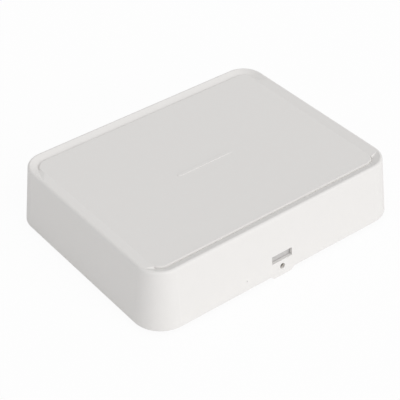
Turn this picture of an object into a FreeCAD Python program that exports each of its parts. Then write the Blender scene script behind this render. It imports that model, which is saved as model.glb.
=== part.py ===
import FreeCAD
import Part
import math
import os

from FreeCAD import Vector

# Wall-mounted access control panel: a moulded two-piece plastic case with a two-door controller board inside.
# It lies on its back: +Z points away from the wall, -Y is the side with the latch slot (down on the wall),
# +X is to the right as seen from that side. The origin is the centre of the back plate's rear face.
# All sizes are in millimetres.

# Case cover, from the photographed proportions
case_length = 240.0
case_width = 188.0
case_height = 50.5            # cover's lower edge to the crest of its rim
wall_gap = 3.0                # shadow gap between the wall and the cover's lower edge
corner_radius = 24.0
cover_wall = 2.5
wall_lean = 5.4               # how far the skirt leans in over the case height
rim_round = 1.9               # rounded shoulder between skirt and rim
rim_land = 0.2                # flat crest beside the shoulder
rim_slope_width = 6.6         # the rim slopes inwards and down to the raised panel
rim_slope_drop = 3.2
panel_step = 1.65             # raised panel above the foot of that slope
panel_edge_round = 1.0
end_ramp_width = 7.8          # at the short sides the panel rises gently to the rim's crest
end_ramp_front = 74.0         # middle of a short side to where its ramp starts to sink
end_ramp_front_fade = 2.5     # run over which it sinks into the rim's slope
end_ramp_rear = 56.0
end_ramp_rear_fade = 20.0
ceiling_round = 1.0

# Blank raised bar near the middle of the panel
bar_length = 52.0
bar_width = 3.0
bar_height = 0.3
bar_x = -2.0
bar_y = -1.6

# Latch slot, locking-screw hole, pin hole and tab in the cover's front wall
slot_width = 19.4
slot_height = 6.8
slot_lift = 10.8              # cover's lower edge to the slot's lower edge
screw_hole_radius = 2.3
screw_hole_lift = 5.3         # cover's lower edge to the hole's centre
pin_hole_radius = 0.45
pin_hole_x = -34.2
pin_hole_lift = 8.3
tab_root_width = 23.4
tab_foot_width = 17.0
tab_drop = 2.6
tab_corner_round = 1.2

# Stiffening inside the cover
rib_thickness = 1.4
rib_depth = 3.0
rib_spacing = 46.0
stop_rib_reach = 8.0
stop_clearance = 0.3
stop_rib_side_y = 52.0
stop_rib_front_x = 62.0
root_depth = 1.2              # how far ribs, ears and ledges are rooted in the cover's wall

# Back plate
base_gap = 6.0                # between the skirt's inner face and the plate's own wall
base_floor = 2.5
base_wall = 2.0
base_wall_top = 14.0
base_corner_radius = 17.0
wall_hole_radius = 2.25
wall_hole_ring = 5.0
wall_hole_ring_height = 2.0
wall_hole_inset = 10.0        # hole centre from the plate's long and short edges
floor_rib = 1.6
floor_rib_height = 1.6

# Cable entries through the back plate
entry_length = 62.0
entry_width = 18.0
entry_corner = 4.0
entry_x = 63.0
entry_front_margin = 5.5
entry_lip = 1.6
entry_lip_height = 2.0
tie_anchor_length = 9.0
tie_anchor_width = 4.0
tie_anchor_height = 4.6
tie_anchor_opening = 5.0
tie_anchor_slot = 2.4
tie_anchor_offset = 15.0      # to each side of the entry's middle

# Hinge between back plate and cover, along the edge opposite the slot
hinge_radius = 1.7
hinge_pin_radius = 1.0
hinge_lift = 3.0              # cover's lower edge to the hinge line
hinge_x = 72.0
knuckle_width = 12.0
ear_width = 5.0
hinge_side_clearance = 0.3
hinge_running_clearance = 0.05
pin_press_clearance = 0.01

# Latch
latch_width = 21.2
latch_plate = 3.5
latch_setback = 1.0           # skirt's inner face to the press face, seen in the slot
latch_travel = 2.5
latch_foot_length = 10.2
latch_foot_thickness = 1.8
latch_guide_clearance = 0.3
latch_rail = 2.0
latch_lip = 1.5
hook_width = 12.0
hook_height = 2.4
hook_slope = 1.6
catch_width = 13.0
housing_floor = 1.6           # slab under the latch housing
housing_peg_radius = 1.2      # pegs that hold the housing in the back plate
housing_peg_spacing = 16.0
catch_reach = 1.9
catch_height = 2.0
catch_lift = 1.5              # slot's upper edge to the ledge that the hook holds
spring_radius = 2.8           # outside
spring_wire = 0.6
spring_turns = 8
spring_gap = 0.2              # between the spring's ends and what they push on
spring_lift = 4.2             # slot's lower edge to the spring's axis
spring_wall_thickness = 2.0
spring_length = 12.6
spring_pin_radius = 1.7
spring_pin_length = 3.4

# Locking-screw boss and its threaded insert
boss_width = 10.0
boss_clearance = 0.9          # to the skirt's inner face
boss_depth = 9.0
boss_cap = 4.2                # hole's centre to the boss's top
insert_radius = 2.0
insert_bore = 1.25
insert_length = 6.0
insert_relief_radius = 1.6    # clear hole behind the insert, out through the boss's back

# Circuit board and what carries it
board_length = 174.0
board_width = 130.0
board_thickness = 1.6
board_corner = 3.0
board_centre_y = 12.0
board_hole_inset = 6.0
board_hole_radius = 1.7
standoff_radius = 3.5
standoff_height = 6.5
standoff_peg_radius = 1.8     # peg under a standoff, pressed into the back plate
standoff_peg_depth = 1.3
screw_radius = 1.5
screw_head_radius = 2.8
screw_head_height = 2.0
screw_head_round = 1.2
screw_length = 6.0
screw_hole_clearance = 0.05
screw_recess_length = 3.0
screw_recess_width = 0.6
screw_recess_depth = 1.2

# Pluggable terminals
terminal_pitch = 5.08
header_depth = 10.0
header_height = 8.4
header_setback = 2.0          # board edge to the header's mouth
header_wall = 1.0
header_back_wall = 1.5
plug_depth = 10.7
plug_height = 11.4
plug_bevel = 1.4
plug_nose_clearance = 0.2
wire_hole_radius = 1.5
wire_hole_depth = 7.0
wire_hole_lift = 4.1          # board to the wire holes' centres
terminal_screw_radius = 1.7
terminal_screw_height = 2.5
terminal_screw_sink = 0.7
terminal_screw_groove = 0.6
terminal_screw_groove_depth = 0.9
reader_ways = 6
inputs_ways = 4
relay_ways = 6
power_ways = 2
bus_ways = 4
reader_y = 36.0               # block centres along the board's side edges, from the board's centre
inputs_y = 7.0
relay_y = -22.0
power_setback = 19.0          # block centres along the front edge, from the board's left edge
bus_setback = 41.0

# Network and service sockets on the board's front edge
jack_width = 16.0
jack_depth = 21.0
jack_height = 13.4
jack_shell = 0.4
jack_inner_gap = 0.1
jack_overhang = 1.5
jack_x = 34.0
port_width = 11.9
port_height = 8.0
port_depth = 13.0
port_lift = 2.6
port_key_width = 6.0
port_key_height = 1.6
usb_width = 7.6
usb_depth = 5.6
usb_height = 2.7
usb_shell = 0.35
usb_corner = 0.75
usb_overhang = 0.5
usb_tongue_width = 4.2
usb_tongue_thickness = 0.55
usb_x = 57.0

# Relays
relay_length = 19.0
relay_width = 15.5
relay_height = 15.3
relay_setback = 24.0          # board's side edges to the relays' centres
relay_gap = 4.0
relay_edge = 0.8

# Back-up cell
cell_radius = 10.0
cell_thickness = 3.2
cell_clearance = 0.2
cell_holder_wall = 1.4
cell_holder_floor = 1.2
cell_holder_tail = 4.0
cell_holder_tail_width = 10.4
cell_notch_width = 8.0
cell_round = 0.5
cell_x = 40.0
cell_y = 36.0

# Cover-tamper switch with its lever
tamper_length = 12.8
tamper_width = 5.8
tamper_height = 6.5
tamper_well = 4.3
tamper_clearance = 0.1
tamper_x = 14.0
tamper_y = -46.0
lever_length = 15.0
lever_width = 3.6
lever_thickness = 0.4
lever_tilt = 6.0
lever_pivot_radius = 0.5
lever_pivot_lift = 0.6        # pivot above the switch's top
lever_pivot_inset = 1.4
lever_cheek_length = 2.0
plunger_radius = 0.9
plunger_arm = 4.0             # lever's pivot to the plunger
lever_press_arm = 13.0        # lever's pivot to the cover's post
post_radius = 2.2
post_clearance = 0.3

# Reset button
reset_body = 6.0
reset_body_height = 3.5
reset_cap_radius = 1.75
reset_cap_height = 1.5
reset_cap_round = 0.25
reset_well = 1.0
reset_clearance = 0.1
reset_travel = 0.3
reset_x = 14.0
reset_y = 50.0

# Address switch bank
dip_pitch = 2.54
dip_ways = 4
dip_width = 6.4
dip_height = 4.0
dip_end = 0.8
dip_slot_width = 1.6
dip_slot_length = 3.4
dip_slot_depth = 1.3
dip_knob = 1.4
dip_knob_rise = 0.9
dip_clearance = 0.1
dip_x = -8.0
dip_y = 50.0

# Chips and other board parts
processor_side = 20.0
processor_height = 1.5
processor_x = 0.0
processor_y = 18.0
memory_length = 18.0
memory_width = 10.0
memory_height = 1.1
memory_x = -22.0
driver_length = 10.3
driver_width = 7.5
driver_height = 2.4
driver_setback = 41.0         # board's side edges to the driver chips' centres
driver_y = 6.0
chip_seat = 0.15
chip_bevel = 0.2
chip_spacing = 3.0
big_cap_radius = 5.0
big_cap_height = 16.0
small_cap_radius = 4.0
small_cap_height = 11.5
cap_round = 0.8
cap_groove_lift = 2.4
cap_groove_depth = 0.5
cap_setback = 15.0            # board's left edge to the first capacitor's centre
cap_y = -46.5
cap_spacing = 11.6
inductor_side = 12.0
inductor_height = 7.0
inductor_bevel = 1.9
inductor_ring_outer = 4.8
inductor_ring_inner = 4.0
inductor_ring_depth = 0.5
inductor_setback = 81.0       # board's left edge to the centre
inductor_y = -22.0
transformer_length = 15.0
transformer_width = 13.0
transformer_height = 11.0
transformer_core_width = 7.8
transformer_base_height = 2.4
transformer_wrap_length = 9.0
transformer_wrap_width = 11.7
transformer_wrap_drop = 1.3
transformer_setback = 101.0   # board's left edge to the centre
transformer_y = -22.0
led_radius = 1.5
led_flange = 1.9
led_flange_height = 0.8
led_height = 4.2
led_spacing = 6.0
led_count = 6
led_x = -48.0
led_y = 57.0
fuse_radius = 4.6
fuse_thickness = 2.8
fuse_round = 1.0
fuse_leg = 1.5
fuse_leg_radius = 0.35
fuse_leg_spacing = 5.0
fuse_setback = 46.0           # board's left edge to the first fuse
fuse_y = -46.5
fuse_spacing = 7.0
jumper_pitch = 2.54
jumper_base = 2.5
jumper_pin = 0.64
jumper_pin_height = 8.6
jumper_cap_length = 5.0
jumper_cap_height = 6.0
jumper_setback = 39.0         # board's side edges to the jumpers' centres
jumper_clearance = 0.15
sink_length = 24.0
sink_width = 12.0
sink_height = 17.0
sink_back = 2.4
sink_fin = 1.2
sink_fin_count = 6
regulator_width = 10.2
regulator_height = 15.4
regulator_body_height = 9.2
regulator_thickness = 4.4
regulator_tab = 1.3
regulator_tab_hole = 1.8
regulator_tab_hole_lift = 12.6
regulator_leg_pitch = 2.54
regulator_leg_width = 0.8
regulator_leg_thickness = 0.5
regulator_leg_setback = 2.6
regulator_lift = 1.6
regulator_setback = 57.0      # board's left edge to the centre
regulator_y = -24.0
crystal_length = 11.2
crystal_width = 4.6
crystal_height = 3.5
crystal_round = 0.5
crystal_x = -20.0
crystal_y = 34.0

# Small working values
tiny = 0.02
reach = 400.0                 # longer than the object, for cutters
overcut = 1.0                 # how far a cutter runs past the face it opens
part_clearance = 0.1          # between parts that are assembled beside one another
quarter_turn = 90.0

# Places worked out from the sizes above
crest_z = wall_gap + case_height
lean_rate = wall_lean / case_height
lean_angle = math.atan(lean_rate)
shoulder_setback = rim_round * math.tan((math.pi / 2 - lean_angle) / 2)
crest_inset = wall_lean + shoulder_setback + rim_land
foot_inset = crest_inset + rim_slope_width
foot_z = crest_z - rim_slope_drop
panel_z = foot_z + panel_step
ceiling_z = foot_z - cover_wall
skirt_front_y = -case_width / 2
hinge_z = wall_gap + hinge_lift
base_length = case_length - 2 * (cover_wall + base_gap)
base_width = case_width - 2 * (cover_wall + base_gap)
base_front_y = -base_width / 2
base_front_inner_y = base_front_y + base_wall
standoff_top = base_floor + standoff_height
board_top = standoff_top + board_thickness
board_front_y = board_centre_y - board_width / 2
board_side_x = board_length / 2
screw_hole_z = wall_gap + screw_hole_lift
slot_low_z = wall_gap + slot_lift
slot_high_z = slot_low_z + slot_height
catch_z = slot_high_z + catch_lift
boss_top = screw_hole_z + boss_cap
latch_low_z = boss_top + latch_guide_clearance


def lean(z):
    """How far the skirt has leaned in at height z."""
    return lean_rate * (z - wall_gap)


def skirt_inner(z):
    """Distance of the front or rear skirt's inner face from the middle plane at height z."""
    return case_width / 2 - cover_wall - lean(z)


hinge_y = skirt_inner(hinge_z) - hinge_radius - hinge_side_clearance


def rounded_outline(length, width, radius, z, x=0.0, y=0.0):
    """Closed wire of a rectangle with round corners, level at height z."""
    half_l = length / 2
    half_w = width / 2
    radius = max(min(radius, half_l - tiny, half_w - tiny), tiny)
    edges = []
    corners = ((1, 1), (-1, 1), (-1, -1), (1, -1))
    ends = []
    for number, (sx, sy) in enumerate(corners):
        centre = Vector(x + sx * (half_l - radius), y + sy * (half_w - radius), z)
        start = math.radians(quarter_turn * number)
        points = [
            centre + Vector(radius * math.cos(start + turn), radius * math.sin(start + turn), 0)
            for turn in (0, math.pi / 4, math.pi / 2)
        ]
        ends.append((points[0], points[2], Part.Arc(*points).toShape()))
    for number in range(len(corners)):
        edges.append(ends[number][2])
        following = ends[(number + 1) % len(corners)]
        if ends[number][1].distanceToPoint(following[0]) > tiny / 10:
            edges.append(Part.makeLine(ends[number][1], following[0]))
    return Part.Wire(edges)


def case_outline(inset, z):
    """Outline of the case at height z, drawn in by inset from the cover's lower edge."""
    return rounded_outline(case_length - 2 * inset, case_width - 2 * inset, corner_radius - inset, z)


def prism(outline, height):
    return Part.Face(outline).extrude(Vector(0, 0, height))


def tapered(lower, upper):
    """Solid between two level outlines of the same kind."""
    return Part.makeLoft([lower, upper], True, True)


def box(x_low, x_high, y_low, y_high, z_low, z_high):
    return Part.makeBox(x_high - x_low, y_high - y_low, z_high - z_low, Vector(x_low, y_low, z_low))


def centred_box(x, y, length, width, z_low, z_high):
    return box(x - length / 2, x + length / 2, y - width / 2, y + width / 2, z_low, z_high)


def post(radius, x, y, z_low, z_high):
    return Part.makeCylinder(radius, z_high - z_low, Vector(x, y, z_low))


def rod_along_x(radius, x_low, x_high, y, z):
    return Part.makeCylinder(radius, x_high - x_low, Vector(x_low, y, z), Vector(1, 0, 0))


def rod_along_y(radius, y_low, y_high, x, z):
    return Part.makeCylinder(radius, y_high - y_low, Vector(x, y_low, z), Vector(0, 1, 0))


def joined(shapes):
    """One clean solid from overlapping shapes."""
    whole = shapes[0]
    if len(shapes) > 1:
        whole = whole.fuse(shapes[1:])
    return whole.removeSplitter()


def rounded_edges(solid, chosen, radius):
    """Fillets the edges that chosen(edge) picks."""
    picked = [edge for edge in solid.Edges if chosen(edge)]
    return solid.makeFillet(radius, picked)


def is_level_at(z):
    def level(edge):
        return abs(edge.BoundBox.ZMin - z) < tiny and abs(edge.BoundBox.ZMax - z) < tiny
    return level


def is_upright(edge):
    size = edge.BoundBox
    return size.XLength < tiny and size.YLength < tiny and size.ZLength > tiny


def board_place(x, y):
    """Board coordinates, from the board's centre, to case coordinates."""
    return x, board_centre_y + y


def from_left(setback):
    """X of a point that far in from the board's left edge."""
    return setback - board_side_x


def from_side(side, setback):
    """X of a point that far in from the board's left (-1) or right (1) edge."""
    return side * (board_side_x - setback)


def cover_shell():
    """Leaning skirt, rounded shoulder, rim that slopes inwards and raised panel, hollow from below."""
    outside = tapered(case_outline(0, wall_gap), case_outline(wall_lean, crest_z))
    outside = rounded_edges(outside, is_level_at(crest_z), rim_round)
    dish = tapered(case_outline(foot_inset, foot_z), case_outline(crest_inset, crest_z))
    outside = outside.cut(dish)
    panel = prism(case_outline(foot_inset, foot_z - tiny), panel_step + tiny)
    panel = rounded_edges(panel, is_level_at(panel_z), panel_edge_round)
    outside = joined([outside, panel, end_ramp(-1), end_ramp(1)])
    return outside.cut(cover_hollow(0.0))


def end_ramp(side):
    """Fills the rim's slope along a short side, so that the panel runs out to the edge there."""
    outer = side * (case_length / 2 - crest_inset)
    inner = outer - side * end_ramp_width
    low_z = foot_z - overcut
    front = -end_ramp_front - end_ramp_front_fade
    rear = end_ramp_rear + end_ramp_rear_fade
    section = [(inner, low_z), (inner, panel_z), (outer, crest_z), (outer, low_z)]
    corners = [Vector(x, front, z) for x, z in section]
    ramp = Part.Face(Part.makePolygon(corners + corners[:1])).extrude(Vector(0, rear - front, 0))
    profile = [
        (end_ramp_rear, crest_z), (rear, foot_z), (rear, low_z),
        (front, low_z), (front, foot_z), (-end_ramp_front, crest_z),
    ]
    corners = [Vector(min(inner, outer), y, z) for y, z in profile]
    keep = Part.Face(Part.makePolygon(corners + corners[:1])).extrude(Vector(end_ramp_width, 0, 0))
    within_crest = prism(case_outline(crest_inset, low_z), crest_z + overcut - low_z)
    return ramp.common(keep).common(within_crest)


def cover_hollow(bite):
    """The space inside the cover; bite takes it that far into the walls."""
    low_z = wall_gap - 2 * cover_wall
    inset = cover_wall - bite
    high_z = ceiling_z + bite
    hollow = tapered(case_outline(inset + lean(low_z), low_z), case_outline(inset + lean(high_z), high_z))
    if bite == 0.0:
        hollow = rounded_edges(hollow, is_level_at(ceiling_z), ceiling_round)
    recess = prism(case_outline(foot_inset + cover_wall - bite, ceiling_z - tiny), panel_step + tiny + bite)
    return joined([hollow, recess])


def ceiling_ribs():
    """Crossed stiffening ribs under the raised panel."""
    low_z = ceiling_z - rib_depth
    high_z = ceiling_z + panel_step + root_depth
    ribs = []
    for count in (-2, -1, 0, 1, 2):
        x = count * rib_spacing
        ribs.append(centred_box(x, 0, rib_thickness, case_width, low_z, high_z))
    for count in (-1, 0, 1):
        y = count * rib_spacing
        ribs.append(centred_box(0, y, case_length, rib_thickness, low_z, high_z))
    return ribs


def stop_ribs():
    """Upright ribs on the skirt whose feet stop the cover on the back plate's wall."""
    low_z = base_wall_top + stop_clearance
    side_x = case_length / 2 - cover_wall - lean(low_z)
    front_y = skirt_inner(low_z)
    ribs = []
    for side in (-1, 1):
        for y in (-stop_rib_side_y, 0, stop_rib_side_y):
            middle = side * (side_x + root_depth / 2 - stop_rib_reach / 2)
            ribs.append(centred_box(middle, y, stop_rib_reach + root_depth, rib_thickness, low_z, ceiling_z))
        for end in (-1, 1):
            middle = end * (front_y + root_depth / 2 - stop_rib_reach / 2)
            ribs.append(centred_box(
                side * stop_rib_front_x, middle, rib_thickness, stop_rib_reach + root_depth, low_z, ceiling_z
            ))
    return ribs


def ear_places():
    """Left end of each hinge ear, and of each knuckle's ear on its other side."""
    near = knuckle_width / 2 + hinge_side_clearance
    places = []
    for side in (-1, 1):
        places.append(side * hinge_x - near - ear_width)
        places.append(side * hinge_x + near)
    return places


def hinge_ears():
    ears = []
    for x in ear_places():
        ears.append(rod_along_x(hinge_radius, x, x + ear_width, hinge_y, hinge_z))
        ears.append(box(
            x, x + ear_width, hinge_y, skirt_inner(hinge_z) + root_depth,
            hinge_z - hinge_radius, hinge_z + 2 * hinge_radius
        ))
    return ears


def catch_ledge():
    """Ledge inside the front wall, above the slot, that the latch's hook holds down."""
    inner_y = -skirt_inner(catch_z)
    return box(
        -catch_width / 2, catch_width / 2, inner_y - root_depth, inner_y + catch_reach,
        catch_z, catch_z + catch_height
    )


def lever_pivot():
    x, y = board_place(tamper_x, tamper_y)
    pivot_x = x - tamper_length / 2 + lever_pivot_inset
    return pivot_x, y, board_top + tamper_height + lever_pivot_lift


def tamper_post():
    """Post under the cover's ceiling that stands just over the tamper lever's free end."""
    pivot_x, y, pivot_z = lever_pivot()
    tilt = math.radians(lever_tilt)
    x = pivot_x + lever_press_arm
    lever_top = pivot_z + (lever_press_arm + post_radius) * math.tan(tilt) + lever_thickness
    return post(post_radius, x, y, lever_top + post_clearance, ceiling_z + panel_step + root_depth)


def front_tab():
    """Tapered tab that carries the front wall down over the gap, flush with it on both faces."""
    low_z = wall_gap - tab_drop
    root_z = wall_gap + cover_wall

    def face_outline(depth):
        def at(x, z):
            return Vector(x, skirt_front_y + lean(z) + depth, z)
        root = tab_root_width / 2
        foot = tab_foot_width / 2
        corners = [
            at(-root, root_z), at(-root, wall_gap), at(-foot, low_z),
            at(foot, low_z), at(root, wall_gap), at(root, root_z),
        ]
        return Part.makePolygon(corners + corners[:1])

    tab = Part.makeLoft([face_outline(0), face_outline(cover_wall)], True, True)

    def at_foot_corner(edge):
        return is_level_at(low_z)(edge) and edge.BoundBox.XLength < tiny

    return rounded_edges(tab, at_foot_corner, tab_corner_round)


def front_cover():
    shell = cover_shell()
    inner_works = ceiling_ribs() + stop_ribs() + hinge_ears() + [catch_ledge(), tamper_post()]
    kept = cover_hollow(root_depth)
    inner_works = [piece.common(kept) for piece in inner_works]
    cover = joined([shell, front_tab()] + inner_works)
    bar = prism(
        rounded_outline(bar_length, bar_width, bar_width / 2, panel_z - tiny, bar_x, bar_y), bar_height + tiny
    )
    bar = rounded_edges(bar, is_level_at(panel_z + bar_height), bar_height / 2)
    cover = joined([cover, bar])
    wall_cut = -skirt_inner(slot_high_z) + tiny
    slot = box(-slot_width / 2, slot_width / 2, -reach, wall_cut, slot_low_z, slot_high_z)
    hole_end = -skirt_inner(screw_hole_z) + cover_wall
    screw_hole = rod_along_y(screw_hole_radius, -reach, hole_end, 0, screw_hole_z)
    pin_hole = rod_along_y(pin_hole_radius, -reach, hole_end, pin_hole_x, wall_gap + pin_hole_lift)
    cover = cover.cut([slot, screw_hole, pin_hole])
    for x in ear_places():
        cover = cover.cut(rod_along_x(
            hinge_pin_radius + pin_press_clearance, x - tiny, x + ear_width + tiny, hinge_y, hinge_z
        ))
    return cover


def hinge_pins():
    half = knuckle_width / 2 + hinge_side_clearance + ear_width
    return [
        rod_along_x(hinge_pin_radius, side * hinge_x - half, side * hinge_x + half, hinge_y, hinge_z)
        for side in (-1, 1)
    ]


def wall_hole_places():
    x = base_length / 2 - wall_hole_inset
    y = base_width / 2 - wall_hole_inset
    return [(-x, -y), (x, -y), (-x, y), (x, y)]


def board_hole_places():
    x = board_length / 2 - board_hole_inset
    y = board_width / 2 - board_hole_inset
    return [board_place(px, py) for px in (-x, 0, x) for py in (-y, y)]


def entry_outline(side, grow, z):
    y = base_front_inner_y + entry_front_margin + entry_width / 2
    return rounded_outline(
        entry_length + 2 * grow, entry_width + 2 * grow, entry_corner + grow, z, side * entry_x, y
    )


def latch_face_y():
    return -skirt_inner(slot_low_z + slot_height / 2) + latch_setback


def spring_place():
    """Front end of the latch spring and the height of its axis."""
    return latch_face_y() + latch_plate + spring_gap, slot_low_z + spring_lift


def latch_guides():
    """Rails, lips and support that carry the latch, and the wall behind its spring."""
    half = latch_width / 2 + latch_guide_clearance
    foot_low = latch_low_z
    foot_top = foot_low + latch_foot_thickness
    front = base_front_y
    spring_front, spring_z = spring_place()
    wall_y = spring_front + spring_length + spring_gap
    back = wall_y + spring_wall_thickness
    lip_front = latch_face_y() + latch_plate + latch_travel + latch_guide_clearance
    lip_low = foot_top + latch_guide_clearance
    shapes = []
    for side in (-1, 1):
        inner = side * half
        outer = side * (half + latch_rail)
        shapes.append(box(
            min(inner, outer), max(inner, outer), front, back, base_floor, lip_low + latch_lip
        ))
        lip_inner = side * (half - latch_lip - latch_guide_clearance)
        shapes.append(box(
            min(lip_inner, outer), max(lip_inner, outer), lip_front, back, lip_low, lip_low + latch_lip
        ))
        support_inner = side * (half - latch_lip - latch_guide_clearance)
        shapes.append(box(
            min(support_inner, outer), max(support_inner, outer), front, back,
            base_floor, foot_low - latch_guide_clearance
        ))
    shapes.append(box(
        -half - latch_rail, half + latch_rail, wall_y, back,
        base_floor, spring_z + spring_radius + latch_lip
    ))
    shapes.append(box(
        -half - latch_rail, half + latch_rail, front, back, base_floor, base_floor + housing_floor
    ))
    shapes.append(rod_along_y(
        spring_pin_radius, wall_y - spring_pin_length, wall_y + spring_wall_thickness / 2, 0, spring_z
    ))
    return shapes


def screw_boss():
    front = -skirt_inner(screw_hole_z) + boss_clearance
    return box(-boss_width / 2, boss_width / 2, front, front + boss_depth, base_floor, boss_top)


def housing_pegs(low_z):
    """Pegs that run from low_z up to the latch housing, or the cutters for their holes."""
    y = base_front_inner_y + boss_depth
    half = housing_peg_spacing / 2
    return [post(housing_peg_radius, x, y, low_z, base_floor + tiny) for x in (-half, half)]


def latch_housing():
    """Moulding on the back plate with the latch's guides and the boss for the locking screw."""
    housing = joined(latch_guides() + [screw_boss()] + housing_pegs(0.0))
    boss_front = -skirt_inner(screw_hole_z) + boss_clearance
    insert_end = boss_front + insert_length
    relief_end = boss_front + boss_depth + overcut
    return housing.cut([
        rod_along_y(insert_radius, boss_front - tiny, insert_end, 0, screw_hole_z),
        rod_along_y(insert_relief_radius, boss_front, relief_end, 0, screw_hole_z),
    ])


def board_standoffs():
    """Pillars that carry the board, each pressed into the back plate with a peg."""
    standoffs = []
    for x, y in board_hole_places():
        pillar = joined([
            post(standoff_radius, x, y, base_floor, standoff_top),
            post(standoff_peg_radius, x, y, base_floor - standoff_peg_depth, base_floor + tiny),
        ])
        standoffs.append(pillar.cut(post(screw_radius + screw_hole_clearance, x, y, base_floor, reach)))
    return standoffs


def knuckles():
    shapes = []
    for side in (-1, 1):
        x_low = side * hinge_x - knuckle_width / 2
        x_high = side * hinge_x + knuckle_width / 2
        shapes.append(rod_along_x(hinge_radius, x_low, x_high, hinge_y, hinge_z))
        shapes.append(box(
            x_low, x_high, base_width / 2 - base_wall, hinge_y, hinge_z - hinge_radius, hinge_z + hinge_radius
        ))
    return shapes


def tie_anchor(x, y):
    """Small bridge for a cable tie."""
    anchor = centred_box(
        x, y, tie_anchor_length, tie_anchor_width, base_floor - tiny, base_floor + tie_anchor_height
    )
    opening = centred_box(
        x, y, tie_anchor_opening, 2 * tie_anchor_width, base_floor, base_floor + tie_anchor_slot
    )
    return anchor.cut(opening)


def floor_ribs():
    """Low ribs between the standoffs."""
    x = board_length / 2 - board_hole_inset
    y = board_width / 2 - board_hole_inset
    high_z = base_floor + floor_rib_height
    ribs = [
        centred_box(0, board_centre_y + side * y, 2 * x, floor_rib, base_floor - tiny, high_z)
        for side in (-1, 1)
    ]
    ribs += [
        centred_box(px, board_centre_y, floor_rib, 2 * y, base_floor - tiny, high_z)
        for px in (-x, 0, x)
    ]
    return ribs


def base_plate():
    floor = prism(rounded_outline(base_length, base_width, base_corner_radius, 0), base_floor)
    wall = prism(rounded_outline(base_length, base_width, base_corner_radius, 0), base_wall_top)
    wall = wall.cut(prism(rounded_outline(
        base_length - 2 * base_wall, base_width - 2 * base_wall, base_corner_radius - base_wall, -tiny
    ), reach))
    solids = [floor, wall] + knuckles() + floor_ribs()
    solids += [
        post(wall_hole_ring, x, y, base_floor - tiny, base_floor + wall_hole_ring_height)
        for x, y in wall_hole_places()
    ]
    for side in (-1, 1):
        solids.append(prism(entry_outline(side, entry_lip, base_floor - tiny), entry_lip_height + tiny))
        anchor_y = base_front_inner_y + entry_front_margin + entry_width + entry_lip + tie_anchor_width
        for offset in (-1, 1):
            solids.append(tie_anchor(side * entry_x + offset * tie_anchor_offset, anchor_y))
    plate = joined(solids)
    cuts = [post(wall_hole_radius, x, y, -tiny, reach) for x, y in wall_hole_places()]
    for x, y in board_hole_places():
        cuts.append(post(standoff_peg_radius, x, y, base_floor - standoff_peg_depth, reach))
        cuts.append(post(standoff_radius + part_clearance, x, y, base_floor, reach))
    cuts += [prism(entry_outline(side, 0, -tiny), reach) for side in (-1, 1)]
    housing_half = latch_width / 2 + latch_guide_clearance + latch_rail + part_clearance
    cuts.append(box(
        -housing_half, housing_half, base_front_y - tiny, base_front_inner_y + tiny, base_floor, reach
    ))
    cuts += housing_pegs(-tiny)
    bore = hinge_pin_radius + hinge_running_clearance
    for x in (-hinge_x, hinge_x):
        cuts.append(rod_along_x(bore, x - knuckle_width, x + knuckle_width, hinge_y, hinge_z))
    return plate.cut(cuts)


def screw_insert():
    """Brass threaded insert in the boss behind the cover's screw hole."""
    front = -skirt_inner(screw_hole_z) + boss_clearance
    body = rod_along_y(insert_radius, front, front + insert_length, 0, screw_hole_z)
    return body.cut(rod_along_y(insert_bore, -reach, reach, 0, screw_hole_z))


def latch_slider():
    """Press plate behind the slot with a sliding foot, a guide for the spring and a hook for the ledge."""
    face_y = latch_face_y()
    back_y = face_y + latch_plate
    half = latch_width / 2
    plate_top = catch_z - latch_guide_clearance
    plate = box(-half, half, face_y, back_y, latch_low_z, plate_top)
    foot_top = latch_low_z + latch_foot_thickness
    foot = box(-half, half, back_y - tiny, back_y + latch_foot_length, latch_low_z, foot_top)
    _, spring_z = spring_place()
    guide = rod_along_y(spring_pin_radius, back_y - tiny, back_y + spring_pin_length, 0, spring_z)
    hook_low = catch_z + catch_height + latch_guide_clearance
    hook_top = hook_low + hook_height
    stem_y = -skirt_inner(catch_z) + catch_reach + latch_guide_clearance
    tip_y = -skirt_inner(hook_top) + latch_guide_clearance
    root_z = plate_top - latch_plate
    outline = [
        (stem_y, root_z), (stem_y, hook_low), (tip_y, hook_low), (tip_y, hook_top - hook_slope),
        (stem_y, hook_top), (back_y, hook_top), (back_y, root_z),
    ]
    corners = [Vector(-hook_width / 2, y, z) for y, z in outline]
    hook = Part.Face(Part.makePolygon(corners + corners[:1])).extrude(Vector(hook_width, 0, 0))
    return joined([plate, foot, guide, hook])


def arc_between(start, middle_control, end):
    """Circular arc from start to end whose tangents meet at middle_control."""
    half_chord = start.distanceToPoint(end) / 2
    weight = half_chord / start.distanceToPoint(middle_control)
    middle = (start + middle_control * (2 * weight) + end) * (1 / (2 + 2 * weight))
    return Part.Arc(start, middle, end).toShape()


def biarc(start, start_way, end, end_way):
    """Two arcs from start to end that leave and arrive along the given unit directions."""
    span = end - start
    both = start_way + end_way
    bend = 2 * (1 - start_way.dot(end_way))
    along = span.dot(both)
    length = (-along + math.sqrt(along * along + bend * span.dot(span))) / bend
    first = start + start_way * length
    second = end - end_way * length
    join = (first + second) * 0.5
    return [arc_between(start, first, join), arc_between(join, second, end)]


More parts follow.
